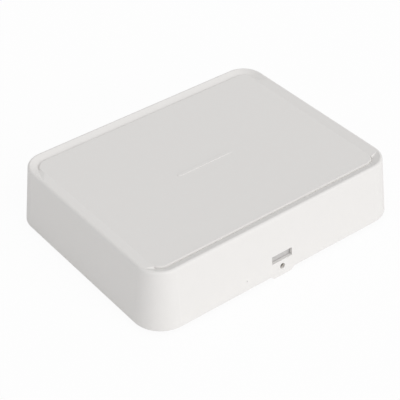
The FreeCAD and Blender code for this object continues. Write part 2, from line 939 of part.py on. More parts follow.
def latch_spring():
    """Compression spring on a quarter-turn biarc helix about the latch's axis."""
    y_start, z = spring_place()
    centre_radius = spring_radius - spring_wire / 2
    coil_start = y_start + spring_wire / 2
    coil_length = spring_length - spring_wire
    steps = spring_turns * 4
    rise = coil_length / steps
    slope = rise / (math.pi / 2)
    scale = 1 / math.hypot(centre_radius, slope)
    points = []
    for step in range(steps + 1):
        angle = step * math.pi / 2
        place = Vector(
            centre_radius * math.cos(angle), coil_start + rise * step, z + centre_radius * math.sin(angle)
        )
        way = Vector(-centre_radius * math.sin(angle), slope, centre_radius * math.cos(angle)) * scale
        points.append((place, way))
    edges = []
    for (place, way), (next_place, next_way) in zip(points, points[1:]):
        edges += biarc(place, way, next_place, next_way)
    path = Part.Wire(edges)
    section = Part.Wire([Part.makeCircle(spring_wire / 2, points[0][0], points[0][1])])
    print("least gap between the spring's turns:", round(4 * rise - spring_wire, 2))
    return path.makePipeShell([section], True, False)


def main_board():
    outline = rounded_outline(board_length, board_width, board_corner, standoff_top, 0, board_centre_y)
    holes = [post(board_hole_radius, x, y, 0, reach) for x, y in board_hole_places()]
    return prism(outline, board_thickness).cut(holes)


def board_screws():
    """Pan-head cross-recess screws through the board into the standoffs."""
    screws = []
    for x, y in board_hole_places():
        head = post(screw_head_radius, x, y, board_top, board_top + screw_head_height)
        head = rounded_edges(head, is_level_at(board_top + screw_head_height), screw_head_round)
        shank = post(screw_radius, x, y, board_top - screw_length, board_top + tiny)
        recess_z = board_top + screw_head_height - screw_recess_depth
        cross = [
            centred_box(x, y, screw_recess_length, screw_recess_width, recess_z, reach),
            centred_box(x, y, screw_recess_width, screw_recess_length, recess_z, reach),
        ]
        screws.append(joined([head, shank]).cut(cross))
    return screws


def block_places():
    """Name, number of ways, board edge point and turn of each terminal block, its mouth facing outwards."""
    places = []
    for door, side in ((1, -1), (2, 1)):
        turn = side * quarter_turn
        for kind, ways, y in (
            ("reader", reader_ways, reader_y),
            ("inputs", inputs_ways, inputs_y),
            ("relay", relay_ways, relay_y),
        ):
            places.append((f"{kind}_{door}", ways, (side * board_side_x, board_centre_y + y), turn))
    places.append(("power", power_ways, (from_left(power_setback), board_front_y), 0))
    places.append(("bus", bus_ways, (from_left(bus_setback), board_front_y), 0))
    return places


def placed_block(shape, point, turn):
    """Moves a shape from its own place (mouth towards -Y, board's edge at y 0) to one on the board."""
    shape = shape.copy()
    shape.rotate(Vector(0, 0, 0), Vector(0, 0, 1), turn)
    shape.translate(Vector(point[0], point[1], board_top))
    return shape


def terminal_header(ways):
    """Open shroud soldered to the board."""
    half = ways * terminal_pitch / 2 + header_wall
    back = header_setback + header_depth
    body = box(-half, half, header_setback, back, 0, header_height)
    mouth = box(
        -half + header_wall, half - header_wall, header_setback - overcut, back - header_back_wall,
        header_wall, header_height - header_wall
    )
    return body.cut(mouth)


def terminal_plug(ways):
    """Plug body with a wire hole and a screw well for each way, its nose in the header."""
    half = ways * terminal_pitch / 2
    front = header_setback - plug_nose_clearance - plug_depth
    back = header_setback - plug_nose_clearance
    body = box(-half, half, front, back, header_wall, plug_height)
    nose_back = header_setback + header_depth - header_back_wall - plug_nose_clearance
    nose = box(
        -half + plug_nose_clearance, half - plug_nose_clearance, back - tiny, nose_back,
        header_wall + plug_nose_clearance, header_height - header_wall - plug_nose_clearance
    )
    plug = joined([body, nose])

    def top_front(edge):
        size = edge.BoundBox
        return size.YLength < tiny and abs(size.YMin - front) < tiny and abs(size.ZMin - plug_height) < tiny \
            and size.XLength > terminal_pitch
    plug = plug.makeChamfer(plug_bevel, [edge for edge in plug.Edges if top_front(edge)])
    cuts = []
    for x in way_places(ways):
        hole_back = front + wire_hole_depth
        cuts.append(rod_along_y(wire_hole_radius, front - overcut, hole_back, x, wire_hole_lift))
        cuts.append(post(
            terminal_screw_radius + plug_nose_clearance, x, front + plug_depth / 2,
            plug_height - terminal_screw_sink - terminal_screw_height, plug_height + overcut
        ))
    return plug.cut(cuts)


def way_places(ways):
    return [(number - (ways - 1) / 2) * terminal_pitch for number in range(ways)]


def terminal_screws():
    screws = []
    front = header_setback - plug_nose_clearance - plug_depth
    top = plug_height - terminal_screw_sink
    for _, ways, point, turn in block_places():
        for x in way_places(ways):
            screw = post(terminal_screw_radius, x, front + plug_depth / 2, top - terminal_screw_height, top)
            groove = centred_box(
                x, front + plug_depth / 2, reach, terminal_screw_groove,
                top - terminal_screw_groove_depth, reach
            )
            screws.append(placed_block(screw.cut(groove), point, turn))
    return screws


def port_cavity():
    """Plug space of the network socket, with the wider key for the plug's clip."""
    front = board_front_y - jack_overhang
    back = front + port_depth
    low_z = board_top + port_lift
    high_z = low_z + port_height
    main = box(jack_x - port_width / 2, jack_x + port_width / 2, front - overcut, back, low_z, high_z)
    key = box(
        jack_x - port_key_width / 2, jack_x + port_key_width / 2, front - overcut, back,
        high_z - tiny, high_z + port_key_height
    )
    return joined([main, key])


def ethernet_shield():
    """Folded metal can round the network socket."""
    front = board_front_y - jack_overhang
    back = front + jack_depth
    can = centred_box(jack_x, (front + back) / 2, jack_width, jack_depth, board_top, board_top + jack_height)
    inside = box(
        jack_x - jack_width / 2 + jack_shell, jack_x + jack_width / 2 - jack_shell,
        front + jack_shell, back - jack_shell, board_top - overcut, board_top + jack_height - jack_shell
    )
    return can.cut([inside, port_cavity()])


def ethernet_insert():
    """Plastic body of the network socket."""
    front = board_front_y - jack_overhang
    gap = jack_shell + jack_inner_gap
    body = box(
        jack_x - jack_width / 2 + gap, jack_x + jack_width / 2 - gap, front + gap, front + jack_depth - gap,
        board_top, board_top + jack_height - gap
    )
    return body.cut(port_cavity())


def usb_socket():
    """Small metal socket shell with the contact tongue inside."""
    front = board_front_y - usb_overhang
    middle = front + usb_depth / 2
    shell = centred_box(usb_x, middle, usb_width, usb_depth, board_top, board_top + usb_height)
    shell = rounded_edges(shell, lambda edge: edge.BoundBox.YLength > usb_depth - tiny, usb_corner)
    mouth = centred_box(
        usb_x, middle - usb_shell, usb_width - 2 * usb_shell, usb_depth,
        board_top + usb_shell, board_top + usb_height - usb_shell
    )
    tongue_z = board_top + (usb_height - usb_tongue_thickness) / 2
    tongue = centred_box(
        usb_x, middle + usb_overhang, usb_tongue_width, usb_depth - 2 * usb_overhang,
        tongue_z, tongue_z + usb_tongue_thickness
    )
    return joined([shell.cut(mouth), tongue])


def relay(side, row):
    """Sealed relay; row 0 stands beside row 1 along the board's edge."""
    x = from_side(side, relay_setback)
    y = board_centre_y + relay_y + (row - 0.5) * (relay_width + relay_gap)
    body = centred_box(x, y, relay_length, relay_width, board_top, board_top + relay_height)
    return rounded_edges(body, lambda edge: edge.BoundBox.ZMax > board_top + tiny, relay_edge)


def cell_holder():
    """Round cup with a contact tail on one side and a finger notch on the other."""
    x, y = board_place(cell_x, cell_y)
    outer = cell_radius + cell_clearance + cell_holder_wall
    top = board_top + cell_holder_floor + cell_thickness + cell_clearance
    well_z = board_top + cell_holder_floor
    cup = joined([
        post(outer, x, y, board_top, top),
        box(
            x, x + outer + cell_holder_tail, y - cell_holder_tail_width / 2, y + cell_holder_tail_width / 2,
            board_top, top
        ),
    ])
    well = post(cell_radius + cell_clearance, x, y, well_z, reach)
    notch = box(x - outer - overcut, x, y - cell_notch_width / 2, y + cell_notch_width / 2, well_z, reach)
    return cup.cut([well, notch])


def coin_cell():
    x, y = board_place(cell_x, cell_y)
    low_z = board_top + cell_holder_floor
    cell = post(cell_radius, x, y, low_z, low_z + cell_thickness)
    return rounded_edges(cell, lambda edge: edge.BoundBox.ZLength < tiny, cell_round)


def tamper_switch():
    """Snap-action switch body with a saddle for the lever's pivot and a hole for the plunger."""
    x, y = board_place(tamper_x, tamper_y)
    pivot_x, _, pivot_z = lever_pivot()
    top = board_top + tamper_height
    body = centred_box(x, y, tamper_length, tamper_width, board_top, top)
    cheek = (tamper_width - lever_width) / 2 - tamper_clearance
    cheeks = [
        centred_box(
            pivot_x, y + side * (tamper_width - cheek) / 2, lever_cheek_length, cheek, top - tiny,
            pivot_z + lever_pivot_radius
        )
        for side in (-1, 1)
    ]
    hole = post(plunger_radius + tamper_clearance, pivot_x + plunger_arm, y, top - tamper_well, reach)
    return joined([body] + cheeks).cut(hole)


def tamper_lever():
    """Sprung steel lever, tilted up at rest, with a rolled end on its pivot."""
    pivot_x, y, pivot_z = lever_pivot()
    leaf = centred_box(
        lever_length / 2, 0, lever_length, lever_width, -lever_thickness / 2, lever_thickness / 2
    )
    roll = rod_along_y(lever_pivot_radius, -lever_width / 2, lever_width / 2, 0, 0)
    lever = joined([leaf, roll])
    lever.rotate(Vector(0, 0, 0), Vector(0, 1, 0), -lever_tilt)
    lever.translate(Vector(pivot_x, y, pivot_z))
    return lever


def tamper_plunger():
    """Pin under the lever, which it meets while the lever is tilted up."""
    pivot_x, y, pivot_z = lever_pivot()
    tilt = math.radians(lever_tilt)
    near = plunger_arm - plunger_radius
    top = pivot_z + near * math.tan(tilt) - lever_thickness / 2 / math.cos(tilt) - tamper_clearance / 2
    travel = plunger_arm * tilt
    low_z = board_top + tamper_height - tamper_well + travel + tamper_clearance
    return post(plunger_radius, pivot_x + plunger_arm, y, low_z, top)


def reset_switch():
    x, y = board_place(reset_x, reset_y)
    top = board_top + reset_body_height
    body = centred_box(x, y, reset_body, reset_body, board_top, top)
    return body.cut(post(reset_cap_radius + reset_clearance, x, y, top - reset_well, reach))


def reset_button():
    x, y = board_place(reset_x, reset_y)
    top = board_top + reset_body_height
    cap = post(
        reset_cap_radius, x, y, top - reset_well + reset_travel + reset_clearance, top + reset_cap_height
    )
    return rounded_edges(cap, is_level_at(top + reset_cap_height), reset_cap_round)


def dip_way_x(number):
    x, _ = board_place(dip_x, dip_y)
    return x + (number - (dip_ways - 1) / 2) * dip_pitch


def dip_switch():
    x, y = board_place(dip_x, dip_y)
    length = dip_ways * dip_pitch + 2 * dip_end
    top = board_top + dip_height
    body = centred_box(x, y, length, dip_width, board_top, top)
    slots = [
        centred_box(dip_way_x(n), y, dip_slot_width, dip_slot_length, top - dip_slot_depth, reach)
        for n in range(dip_ways)
    ]
    return body.cut(slots)


def dip_slider(number):
    """Knob of one address switch; odd ones rest at the far end of their slots."""
    _, y = board_place(dip_x, dip_y)
    top = board_top + dip_height
    end = dip_slot_length / 2 - dip_clearance - dip_knob / 2
    place_y = y - end if number % 2 == 0 else y + end
    width = dip_slot_width - 2 * dip_clearance
    knob = centred_box(
        dip_way_x(number), place_y, width, dip_knob, top - dip_slot_depth + dip_clearance, top + dip_knob_rise
    )
    return knob


def chip(x, y, length, width, height):
    """Chip body standing a hair off the board on its leads, with bevelled edges."""
    low_z = board_top + chip_seat
    body = centred_box(x, y, length, width, low_z, low_z + height)
    return body.makeChamfer(chip_bevel, [edge for edge in body.Edges if is_level_at(low_z + height)(edge)])


def processor():
    x, y = board_place(processor_x, processor_y)
    return chip(x, y, processor_side, processor_side, processor_height)


def memory_chips():
    x, y = board_place(memory_x, processor_y)
    return [
        chip(x, y + step * (memory_width + chip_spacing) / 2, memory_length, memory_width, memory_height)
        for step in (-1, 1)
    ]


def driver_chips():
    chips = []
    for side in (-1, 1):
        for step in (-1, 1):
            x = from_side(side, driver_setback)
            y = board_centre_y + driver_y + step * (driver_width + chip_spacing) / 2
            chips.append(chip(x, y, driver_length, driver_width, driver_height))
    return chips


def can(x, y, radius, height):
    """Electrolytic capacitor with its rolled groove and rounded top."""
    body = post(radius, x, y, board_top, board_top + height)
    body = rounded_edges(body, is_level_at(board_top + height), cap_round)
    groove = Part.makeTorus(
        radius + cap_round - cap_groove_depth, cap_round, Vector(x, y, board_top + cap_groove_lift)
    )
    return body.cut(groove)


def capacitors():
    x, y = board_place(from_left(cap_setback), cap_y)
    return [
        can(x, y, big_cap_radius, big_cap_height),
        can(x + cap_spacing, y, big_cap_radius, big_cap_height),
        can(x + 2 * cap_spacing, y, small_cap_radius, small_cap_height),
    ]


def power_inductor():
    """Shielded square inductor with a round core in its top."""
    x, y = board_place(from_left(inductor_setback), inductor_y)
    top = board_top + inductor_height
    body = centred_box(x, y, inductor_side, inductor_side, board_top, top)
    body = body.makeChamfer(inductor_bevel, [edge for edge in body.Edges if is_upright(edge)])
    ring = post(inductor_ring_outer, x, y, top - inductor_ring_depth, reach)
    return body.cut(ring.cut(post(inductor_ring_inner, x, y, board_top, reach)))


def poe_transformer():
    """Transformer: core on a bobbin with a wrapped middle."""
    x, y = board_place(from_left(transformer_setback), transformer_y)
    top = board_top + transformer_height
    return joined([
        centred_box(x, y, transformer_length, transformer_core_width, board_top, top),
        centred_box(
            x, y, transformer_length, transformer_width, board_top, board_top + transformer_base_height
        ),
        centred_box(
            x, y, transformer_wrap_length, transformer_wrap_width, board_top, top - transformer_wrap_drop
        ),
    ])


def status_leds():
    leds = []
    for number in range(led_count):
        x, y = board_place(led_x + number * led_spacing, led_y)
        dome_z = board_top + led_height - led_radius
        flange = post(led_flange, x, y, board_top, board_top + led_flange_height)
        stem = post(led_radius, x, y, board_top, dome_z)
        leds.append(joined([flange, stem, Part.makeSphere(led_radius, Vector(x, y, dome_z))]))
    return leds


def resettable_fuses():
    """Upright discs on two short legs."""
    fuses = []
    for number in range(2):
        x, y = board_place(from_left(fuse_setback) + number * fuse_spacing, fuse_y)
        middle_z = board_top + fuse_leg + fuse_radius
        disc = rod_along_x(fuse_radius, x - fuse_thickness / 2, x + fuse_thickness / 2, y, middle_z)
        disc = rounded_edges(disc, lambda edge: edge.BoundBox.XLength < tiny, fuse_round)
        legs = [
            post(fuse_leg_radius, x, y + side * fuse_leg_spacing / 2, board_top, middle_z) for side in (-1, 1)
        ]
        fuses.append(joined([disc] + legs))
    return fuses


def jumper_places():
    """Centres of the three-pin jumpers beside the relays."""
    return [
        (from_side(side, jumper_setback), board_centre_y + relay_y + (row - 0.5) * (relay_width + relay_gap))
        for side in (-1, 1) for row in (0, 1)
    ]


def jumper_headers():
    """Bases that hold the jumpers' pins."""
    headers = []
    holes = jumper_pins()
    for x, y in jumper_places():
        base = centred_box(x, y, jumper_base, 3 * jumper_pitch, board_top, board_top + jumper_base)
        headers.append(base.cut(holes))
    return headers


def jumper_pins():
    high_z = board_top + jumper_pin_height
    return [
        centred_box(x, y + step * jumper_pitch, jumper_pin, jumper_pin, board_top, high_z)
        for x, y in jumper_places()
        for step in (-1, 0, 1)
    ]


def jumper_caps():
    """Push-on links over two of the three pins."""
    caps = []
    well = jumper_pin + 2 * jumper_clearance
    low_z = board_top + jumper_base + jumper_clearance
    well_top = board_top + jumper_pin_height + jumper_clearance
    for x, y in jumper_places():
        middle = y - jumper_pitch / 2
        body = centred_box(x, middle, jumper_base, jumper_cap_length, low_z, low_z + jumper_cap_height)
        wells = [
            centred_box(x, y + step * jumper_pitch, well, well, board_top, well_top) for step in (-1, 0)
        ]
        caps.append(body.cut(wells))
    return caps


def heat_sink():
    """Finned extrusion standing on the board behind the regulator."""
    x, y = board_place(from_left(regulator_setback), regulator_y)
    back = box(x - sink_length / 2, x + sink_length / 2, y, y + sink_back, board_top, board_top + sink_height)
    fins = []
    step = (sink_length - sink_fin) / (sink_fin_count - 1)
    for number in range(sink_fin_count):
        left = x - sink_length / 2 + number * step
        fins.append(box(left, left + sink_fin, y, y + sink_width, board_top, board_top + sink_height))
    return joined([back] + fins)


def regulator():
    """Power regulator flat against the heat sink, on three legs."""
    x, y = board_place(from_left(regulator_setback), regulator_y)
    left = x - regulator_width / 2
    right = x + regulator_width / 2
    low_z = board_top + regulator_lift
    tab = box(left, right, y - regulator_tab, y, low_z, low_z + regulator_height)
    tab = tab.cut(rod_along_y(regulator_tab_hole, y - reach, y + reach, x, low_z + regulator_tab_hole_lift))
    body = box(left, right, y - regulator_thickness, y - regulator_tab, low_z, low_z + regulator_body_height)
    legs = [
        centred_box(
            x + step * regulator_leg_pitch, y - regulator_leg_setback, regulator_leg_width,
            regulator_leg_thickness, board_top, low_z + tiny
        )
        for step in (-1, 0, 1)
    ]
    return joined([tab, body] + legs)


def crystal():
    x, y = board_place(crystal_x, crystal_y)
    outline = rounded_outline(crystal_length, crystal_width, crystal_width / 2, board_top, x, y)
    body = prism(outline, crystal_height)
    return rounded_edges(body, is_level_at(board_top + crystal_height), crystal_round)


def write_node(name, shape):
    """Writes one sub-part; a list of shapes becomes one node of separate solids."""
    shapes = shape if isinstance(shape, list) else [shape]
    solids = [solid for piece in shapes for solid in piece.Solids]
    for solid in solids:
        if not solid.isValid() or solid.Volume <= 0:
            print("faulty solid in", name)
    whole = solids[0] if len(solids) == 1 else Part.makeCompound(solids)
    whole.exportStep(f"parts/{name}.step")
    size = whole.BoundBox
    print(f"{name}: {len(solids)} solids, {size.XLength:.1f} x {size.YLength:.1f} x {size.ZLength:.1f}")


def main():
    os.makedirs("parts", exist_ok=True)
    nodes = {
        "front_cover": front_cover(),
        "base_plate": base_plate(),
        "latch_housing": latch_housing(),
        "board_standoffs": board_standoffs(),
        "hinge_pins": hinge_pins(),
        "latch_slider": latch_slider(),
        "latch_spring": latch_spring(),
        "screw_insert": screw_insert(),
        "main_board": main_board(),
        "board_screws": board_screws(),
        "terminal_screws": terminal_screws(),
        "ethernet_shield": ethernet_shield(),
        "ethernet_insert": ethernet_insert(),
        "usb_socket": usb_socket(),
        "lock_relay_1": relay(-1, 1),
        "aux_relay_1": relay(-1, 0),
        "lock_relay_2": relay(1, 1),
        "aux_relay_2": relay(1, 0),
        "coin_cell_holder": cell_holder(),
        "coin_cell": coin_cell(),
        "tamper_switch": tamper_switch(),
        "tamper_lever": tamper_lever(),
        "tamper_plunger": tamper_plunger(),
        "reset_switch": reset_switch(),
        "reset_button": reset_button(),
        "dip_switch": dip_switch(),
        "processor": processor(),
        "memory_chips": memory_chips(),
        "driver_chips": driver_chips(),
        "capacitors": capacitors(),
        "power_inductor": power_inductor(),
        "poe_transformer": poe_transformer(),
        "status_leds": status_leds(),
        "resettable_fuses": resettable_fuses(),
        "jumper_headers": jumper_headers(),
        "jumper_pins": jumper_pins(),
        "jumper_caps": jumper_caps(),
        "heat_sink": heat_sink(),
        "regulator": regulator(),
        "crystal": crystal(),
    }
    for number in range(dip_ways):
        nodes[f"dip_slider_{number + 1}"] = dip_slider(number)
    for name, ways, point, turn in block_places():
        nodes[f"{name}_header"] = placed_block(terminal_header(ways), point, turn)
        nodes[f"{name}_plug"] = placed_block(terminal_plug(ways), point, turn)
    for name, shape in nodes.items():
        write_node(name, shape)


main()
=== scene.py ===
import math

import bmesh
import bpy
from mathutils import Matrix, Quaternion, Vector


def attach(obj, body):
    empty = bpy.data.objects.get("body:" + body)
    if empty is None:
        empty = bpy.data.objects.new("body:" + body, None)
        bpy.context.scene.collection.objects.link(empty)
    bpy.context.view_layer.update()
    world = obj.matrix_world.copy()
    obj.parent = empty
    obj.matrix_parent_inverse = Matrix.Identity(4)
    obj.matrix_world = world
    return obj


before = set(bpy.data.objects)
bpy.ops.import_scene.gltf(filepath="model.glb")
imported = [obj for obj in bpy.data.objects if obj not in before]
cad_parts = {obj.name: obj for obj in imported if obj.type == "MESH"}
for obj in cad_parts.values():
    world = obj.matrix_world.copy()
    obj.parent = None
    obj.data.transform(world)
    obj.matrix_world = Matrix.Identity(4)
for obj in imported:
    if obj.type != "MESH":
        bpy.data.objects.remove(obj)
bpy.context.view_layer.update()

# Wall-mounted access control panel, lying on its back plate on a pale table.
# Everything is in metres, in the part's own frame: +Z out of the wall, -Y towards the latch slot.
# The modelling functions take millimetres.

CAMERA_PLACE = Vector((-0.4986, -0.6430, 0.6490))
CAMERA_AIM = Vector((-0.0137, -0.0104, 0.027))
CAMERA_ROLL = math.radians(-0.713)
CAMERA_LENS = 117.1
KEY_TURN = math.radians(9)    # from straight in front of the latch side, towards +X
KEY_HEIGHT = math.radians(29)
KEY_SPREAD = math.radians(60)
KEY_POWER = 1.33
DAYLIGHT_POWER = 0.63
PAPER_GLOW = 0.94             # share of the table's own white that the camera sees

MM = 0.001
BOARD_TOP = 10.6
SOLDER = 0.03                 # lift of a soldered part over the board
TERMINAL_PITCH = 5.08
SIDE_PLUG_FACE = 95.9
FRONT_PLUG_FACE = -61.9
RELAY_X = 63.0
RELAY_ROWS = (-19.75, -0.25)
CAPACITOR_Y = -34.5
SOCKET_X = 34.0
CONTACT_PITCH = 1.02
CELL_MARK = (37.05, 48.0)
SWITCH_TOP = 14.6
SWITCH_PITCH = 2.54
TAMPER_Y = -34.0
RESET_PLACE = (14.0, 62.0)
TRANSFORMER_Y = -10.0
CEILING_MARK_Z = 47.62


# Finishes

def finish_of(name, colour, roughness, metallic=0.0):
    """New material with its shader's plain values set."""
    material = bpy.data.materials.new(name)
    material.use_nodes = True
    shader = material.node_tree.nodes["Principled BSDF"]
    shader.inputs["Base Color"].default_value = (*colour, 1)
    shader.inputs["Roughness"].default_value = roughness
    shader.inputs["Metallic"].default_value = metallic
    return material


def grain(material, size, height, tone=0.0, gloss=0.0, stretch=(1, 1, 1)):
    """Fine surface relief with a little variation of tone and gloss; size and height in metres."""
    tree = material.node_tree
    nodes, links = tree.nodes, tree.links
    shader = nodes["Principled BSDF"]
    place = nodes.new("ShaderNodeTexCoord")
    turn = nodes.new("ShaderNodeMapping")
    turn.inputs["Scale"].default_value = stretch
    relief = nodes.new("ShaderNodeTexNoise")
    relief.inputs["Scale"].default_value = 1 / size
    relief.inputs["Detail"].default_value = 3
    bump = nodes.new("ShaderNodeBump")
    bump.inputs["Strength"].default_value = 1.0
    bump.inputs["Distance"].default_value = height
    links.new(place.outputs["Object"], turn.inputs["Vector"])
    links.new(turn.outputs["Vector"], relief.inputs["Vector"])
    links.new(relief.outputs["Fac"], bump.inputs["Height"])
    links.new(bump.outputs["Normal"], shader.inputs["Normal"])
    if tone or gloss:
        cloud = nodes.new("ShaderNodeTexNoise")
        cloud.inputs["Scale"].default_value = 0.06 / size
        cloud.inputs["Detail"].default_value = 4
        links.new(turn.outputs["Vector"], cloud.inputs["Vector"])
    if tone:
        colour = shader.inputs["Base Color"].default_value[:3]
        mix = nodes.new("ShaderNodeMix")
        mix.data_type = "RGBA"
        mix.inputs["A"].default_value = (*[c * (1 - tone) for c in colour], 1)
        mix.inputs["B"].default_value = (*[min(1.0, c * (1 + tone)) for c in colour], 1)
        links.new(cloud.outputs["Fac"], mix.inputs["Factor"])
        links.new(mix.outputs["Result"], shader.inputs["Base Color"])
    if gloss:
        level = shader.inputs["Roughness"].default_value
        spread = nodes.new("ShaderNodeMapRange")
        spread.inputs["From Min"].default_value = 0.3
        spread.inputs["From Max"].default_value = 0.7
        spread.inputs["To Min"].default_value = level - gloss
        spread.inputs["To Max"].default_value = level + gloss
        links.new(cloud.outputs["Fac"], spread.inputs["Value"])
        links.new(spread.outputs["Result"], shader.inputs["Roughness"])
    return material


def woven(material, pitch, tone):
    """Faint crossed threads of glass cloth seen through the solder mask."""
    nodes, links = material.node_tree.nodes, material.node_tree.links
    shader = nodes["Principled BSDF"]
    colour = shader.inputs["Base Color"].default_value[:3]
    place = nodes.new("ShaderNodeTexCoord")
    threads = []
    for way in ("X", "Y"):
        wave = nodes.new("ShaderNodeTexWave")
        wave.bands_direction = way
        wave.inputs["Scale"].default_value = math.pi / 10 / pitch
        wave.inputs["Distortion"].default_value = 0.6
        links.new(place.outputs["Object"], wave.inputs["Vector"])
        threads.append(wave)
    cloth = nodes.new("ShaderNodeMath")
    cloth.operation = "MULTIPLY"
    links.new(threads[0].outputs["Fac"], cloth.inputs[0])
    links.new(threads[1].outputs["Fac"], cloth.inputs[1])
    mix = nodes.new("ShaderNodeMix")
    mix.data_type = "RGBA"
    mix.inputs["A"].default_value = (*[c * (1 - tone) for c in colour], 1)
    mix.inputs["B"].default_value = (*[c * (1 + tone) for c in colour], 1)
    links.new(cloth.outputs["Value"], mix.inputs["Factor"])
    links.new(mix.outputs["Result"], shader.inputs["Base Color"])
    return material


def moulded(name, colour, roughness=0.5, relief=0.000012):
    return grain(finish_of(name, colour, roughness), 0.0005, relief, 0.03, 0.05)


def metal(name, colour, roughness=0.3, stretch=(1, 12, 1)):
    return grain(finish_of(name, colour, roughness, 1.0), 0.0006, 0.000004, 0.05, 0.07, stretch)


case_plastic = grain(finish_of("case_plastic", (0.80, 0.784, 0.768), 0.5), 0.0005, 0.000012, 0.01, 0.04)
plate_plastic = grain(finish_of("plate_plastic", (0.74, 0.73, 0.72), 0.55), 0.0005, 0.000015, 0.015, 0.04)
latch_plastic = grain(finish_of("latch_plastic", (0.54, 0.53, 0.52), 0.5), 0.0004, 0.00001, 0.01, 0.04)
nylon = moulded("standoff_nylon", (0.82, 0.82, 0.78), 0.45)
drawn_wire = metal("spring_wire", (0.62, 0.62, 0.63), 0.28, (6, 1, 6))
ground_pin = metal("hinge_pin_steel", (0.66, 0.66, 0.67), 0.25, (12, 1, 1))
turned_brass = metal("insert_brass", (0.82, 0.66, 0.36), 0.35, (1, 8, 1))
gold_plate = metal("gold_plate", (0.83, 0.64, 0.30), 0.22, (1, 1, 6))
zinc_plate = metal("zinc_plate", (0.70, 0.71, 0.73), 0.32, (4, 1, 1))
tinned = metal("tinned_metal", (0.74, 0.74, 0.73), 0.3, (1, 6, 1))
tinned_shell = metal("socket_shell", (0.72, 0.72, 0.71), 0.26, (1, 14, 1))
can_steel = metal("crystal_case", (0.76, 0.76, 0.76), 0.22, (10, 1, 1))
cell_steel = metal("cell_steel", (0.70, 0.70, 0.69), 0.3, (14, 1, 1))
black_anodised = grain(
    finish_of("black_anodised", (0.06, 0.06, 0.065), 0.45, 0.6), 0.0005, 0.000005, 0.08, 0.06, (1, 1, 10)
)
bare_aluminium = metal("bare_aluminium", (0.80, 0.80, 0.80), 0.35, (8, 1, 1))
board_mask = grain(finish_of("board_mask", (0.03, 0.20, 0.10), 0.32), 0.0008, 0.000006, 0.0, 0.05)
board_mask = woven(board_mask, 0.0009, 0.10)
track_green = grain(finish_of("track_green", (0.05, 0.29, 0.14), 0.3), 0.0006, 0.000005, 0.05, 0.04)
board_print = grain(finish_of("board_print", (0.78, 0.79, 0.76), 0.6), 0.0004, 0.000006, 0.04, 0.05)
terminal_green = moulded("terminal_green", (0.08, 0.38, 0.17), 0.42)
socket_black = moulded("socket_black", (0.035, 0.035, 0.04), 0.5)
relay_black = moulded("relay_black", (0.045, 0.045, 0.05), 0.3, 0.000006)
switch_black = moulded("switch_black", (0.045, 0.045, 0.05), 0.48)
switch_red = moulded("switch_red", (0.52, 0.045, 0.045), 0.42)
slider_white = moulded("slider_white", (0.84, 0.84, 0.82), 0.45)
chip_epoxy = moulded("chip_epoxy", (0.032, 0.032, 0.036), 0.62, 0.00002)
dot_grey = moulded("dot_grey", (0.10, 0.10, 0.105), 0.5)
sleeve_black = moulded("capacitor_sleeve", (0.05, 0.05, 0.075), 0.25, 0.000004)
sleeve_stripe = moulded("sleeve_stripe", (0.62, 0.64, 0.66), 0.35, 0.000004)
ferrite = moulded("ferrite_grey", (0.15, 0.15, 0.155), 0.7, 0.00003)
tape_yellow = moulded("tape_yellow", (0.78, 0.62, 0.18), 0.3, 0.00001)
led_lens = moulded("led_lens", (0.72, 0.79, 0.70), 0.2, 0.000003)
lamp_green = moulded("lamp_green", (0.20, 0.55, 0.20), 0.25, 0.000003)
lamp_yellow = moulded("lamp_yellow", (0.72, 0.55, 0.12), 0.25, 0.000003)
dipped_orange = moulded("dipped_orange", (0.78, 0.56, 0.13), 0.4, 0.00003)
cap_blue = moulded("cap_blue", (0.07, 0.18, 0.46), 0.45)
resistor_black = moulded("resistor_black", (0.03, 0.03, 0.034), 0.45)
ceramic_tan = moulded("ceramic_tan", (0.50, 0.38, 0.24), 0.5)
led_lens.node_tree.nodes["Principled BSDF"].inputs["Transmission Weight"].default_value = 0.35
led_lens.node_tree.nodes["Principled BSDF"].inputs["IOR"].default_value = 1.5

FINISH_OF_NODE = {
    case_plastic: ["front_cover"],
    plate_plastic: ["base_plate", "latch_housing"],
    latch_plastic: ["latch_slider"],
    nylon: ["board_standoffs"],
    drawn_wire: ["latch_spring"],
    ground_pin: ["hinge_pins"],
    turned_brass: ["screw_insert"],
    board_mask: ["main_board"],
    zinc_plate: ["board_screws", "terminal_screws"],
    tinned: ["tamper_lever"],
    tinned_shell: ["ethernet_shield", "usb_socket"],
    socket_black: ["ethernet_insert", "coin_cell_holder", "jumper_headers"],
    relay_black: ["lock_relay_1", "aux_relay_1", "lock_relay_2", "aux_relay_2"],
    cell_steel: ["coin_cell"],
    switch_black: ["tamper_switch", "reset_switch"],
    switch_red: ["tamper_plunger", "dip_switch"],
    slider_white: ["reset_button"] + [f"dip_slider_{number}" for number in range(1, 5)],
    chip_epoxy: ["processor", "memory_chips", "driver_chips", "regulator"],
    sleeve_black: ["capacitors"],
    ferrite: ["power_inductor"],
    tape_yellow: ["poe_transformer"],
    led_lens: ["status_leds"],
    dipped_orange: ["resettable_fuses"],
    cap_blue: ["jumper_caps"],
    gold_plate: ["jumper_pins"],
    black_anodised: ["heat_sink"],
    can_steel: ["crystal"],
    terminal_green: [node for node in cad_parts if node.endswith("_header") or node.endswith("_plug")],
}


def dress_nodes():
    """Puts the finishes on the CAD nodes in place of their plain ones."""
    for finish, nodes in FINISH_OF_NODE.items():
        for node in nodes:
            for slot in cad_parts[node].material_slots:
                slot.material = finish


# Modelling

def start():
    """Object mode with nothing selected."""
    if bpy.context.mode != "OBJECT":
        bpy.ops.object.mode_set(mode="OBJECT")
    bpy.ops.object.select_all(action="DESELECT")


def take(piece):
    """Makes a piece the only selected one."""
    start()
    piece.select_set(True)
    bpy.context.view_layer.objects.active = piece


def fix_place():
    bpy.ops.object.transform_apply(location=True, rotation=True, scale=True)
    return bpy.context.object


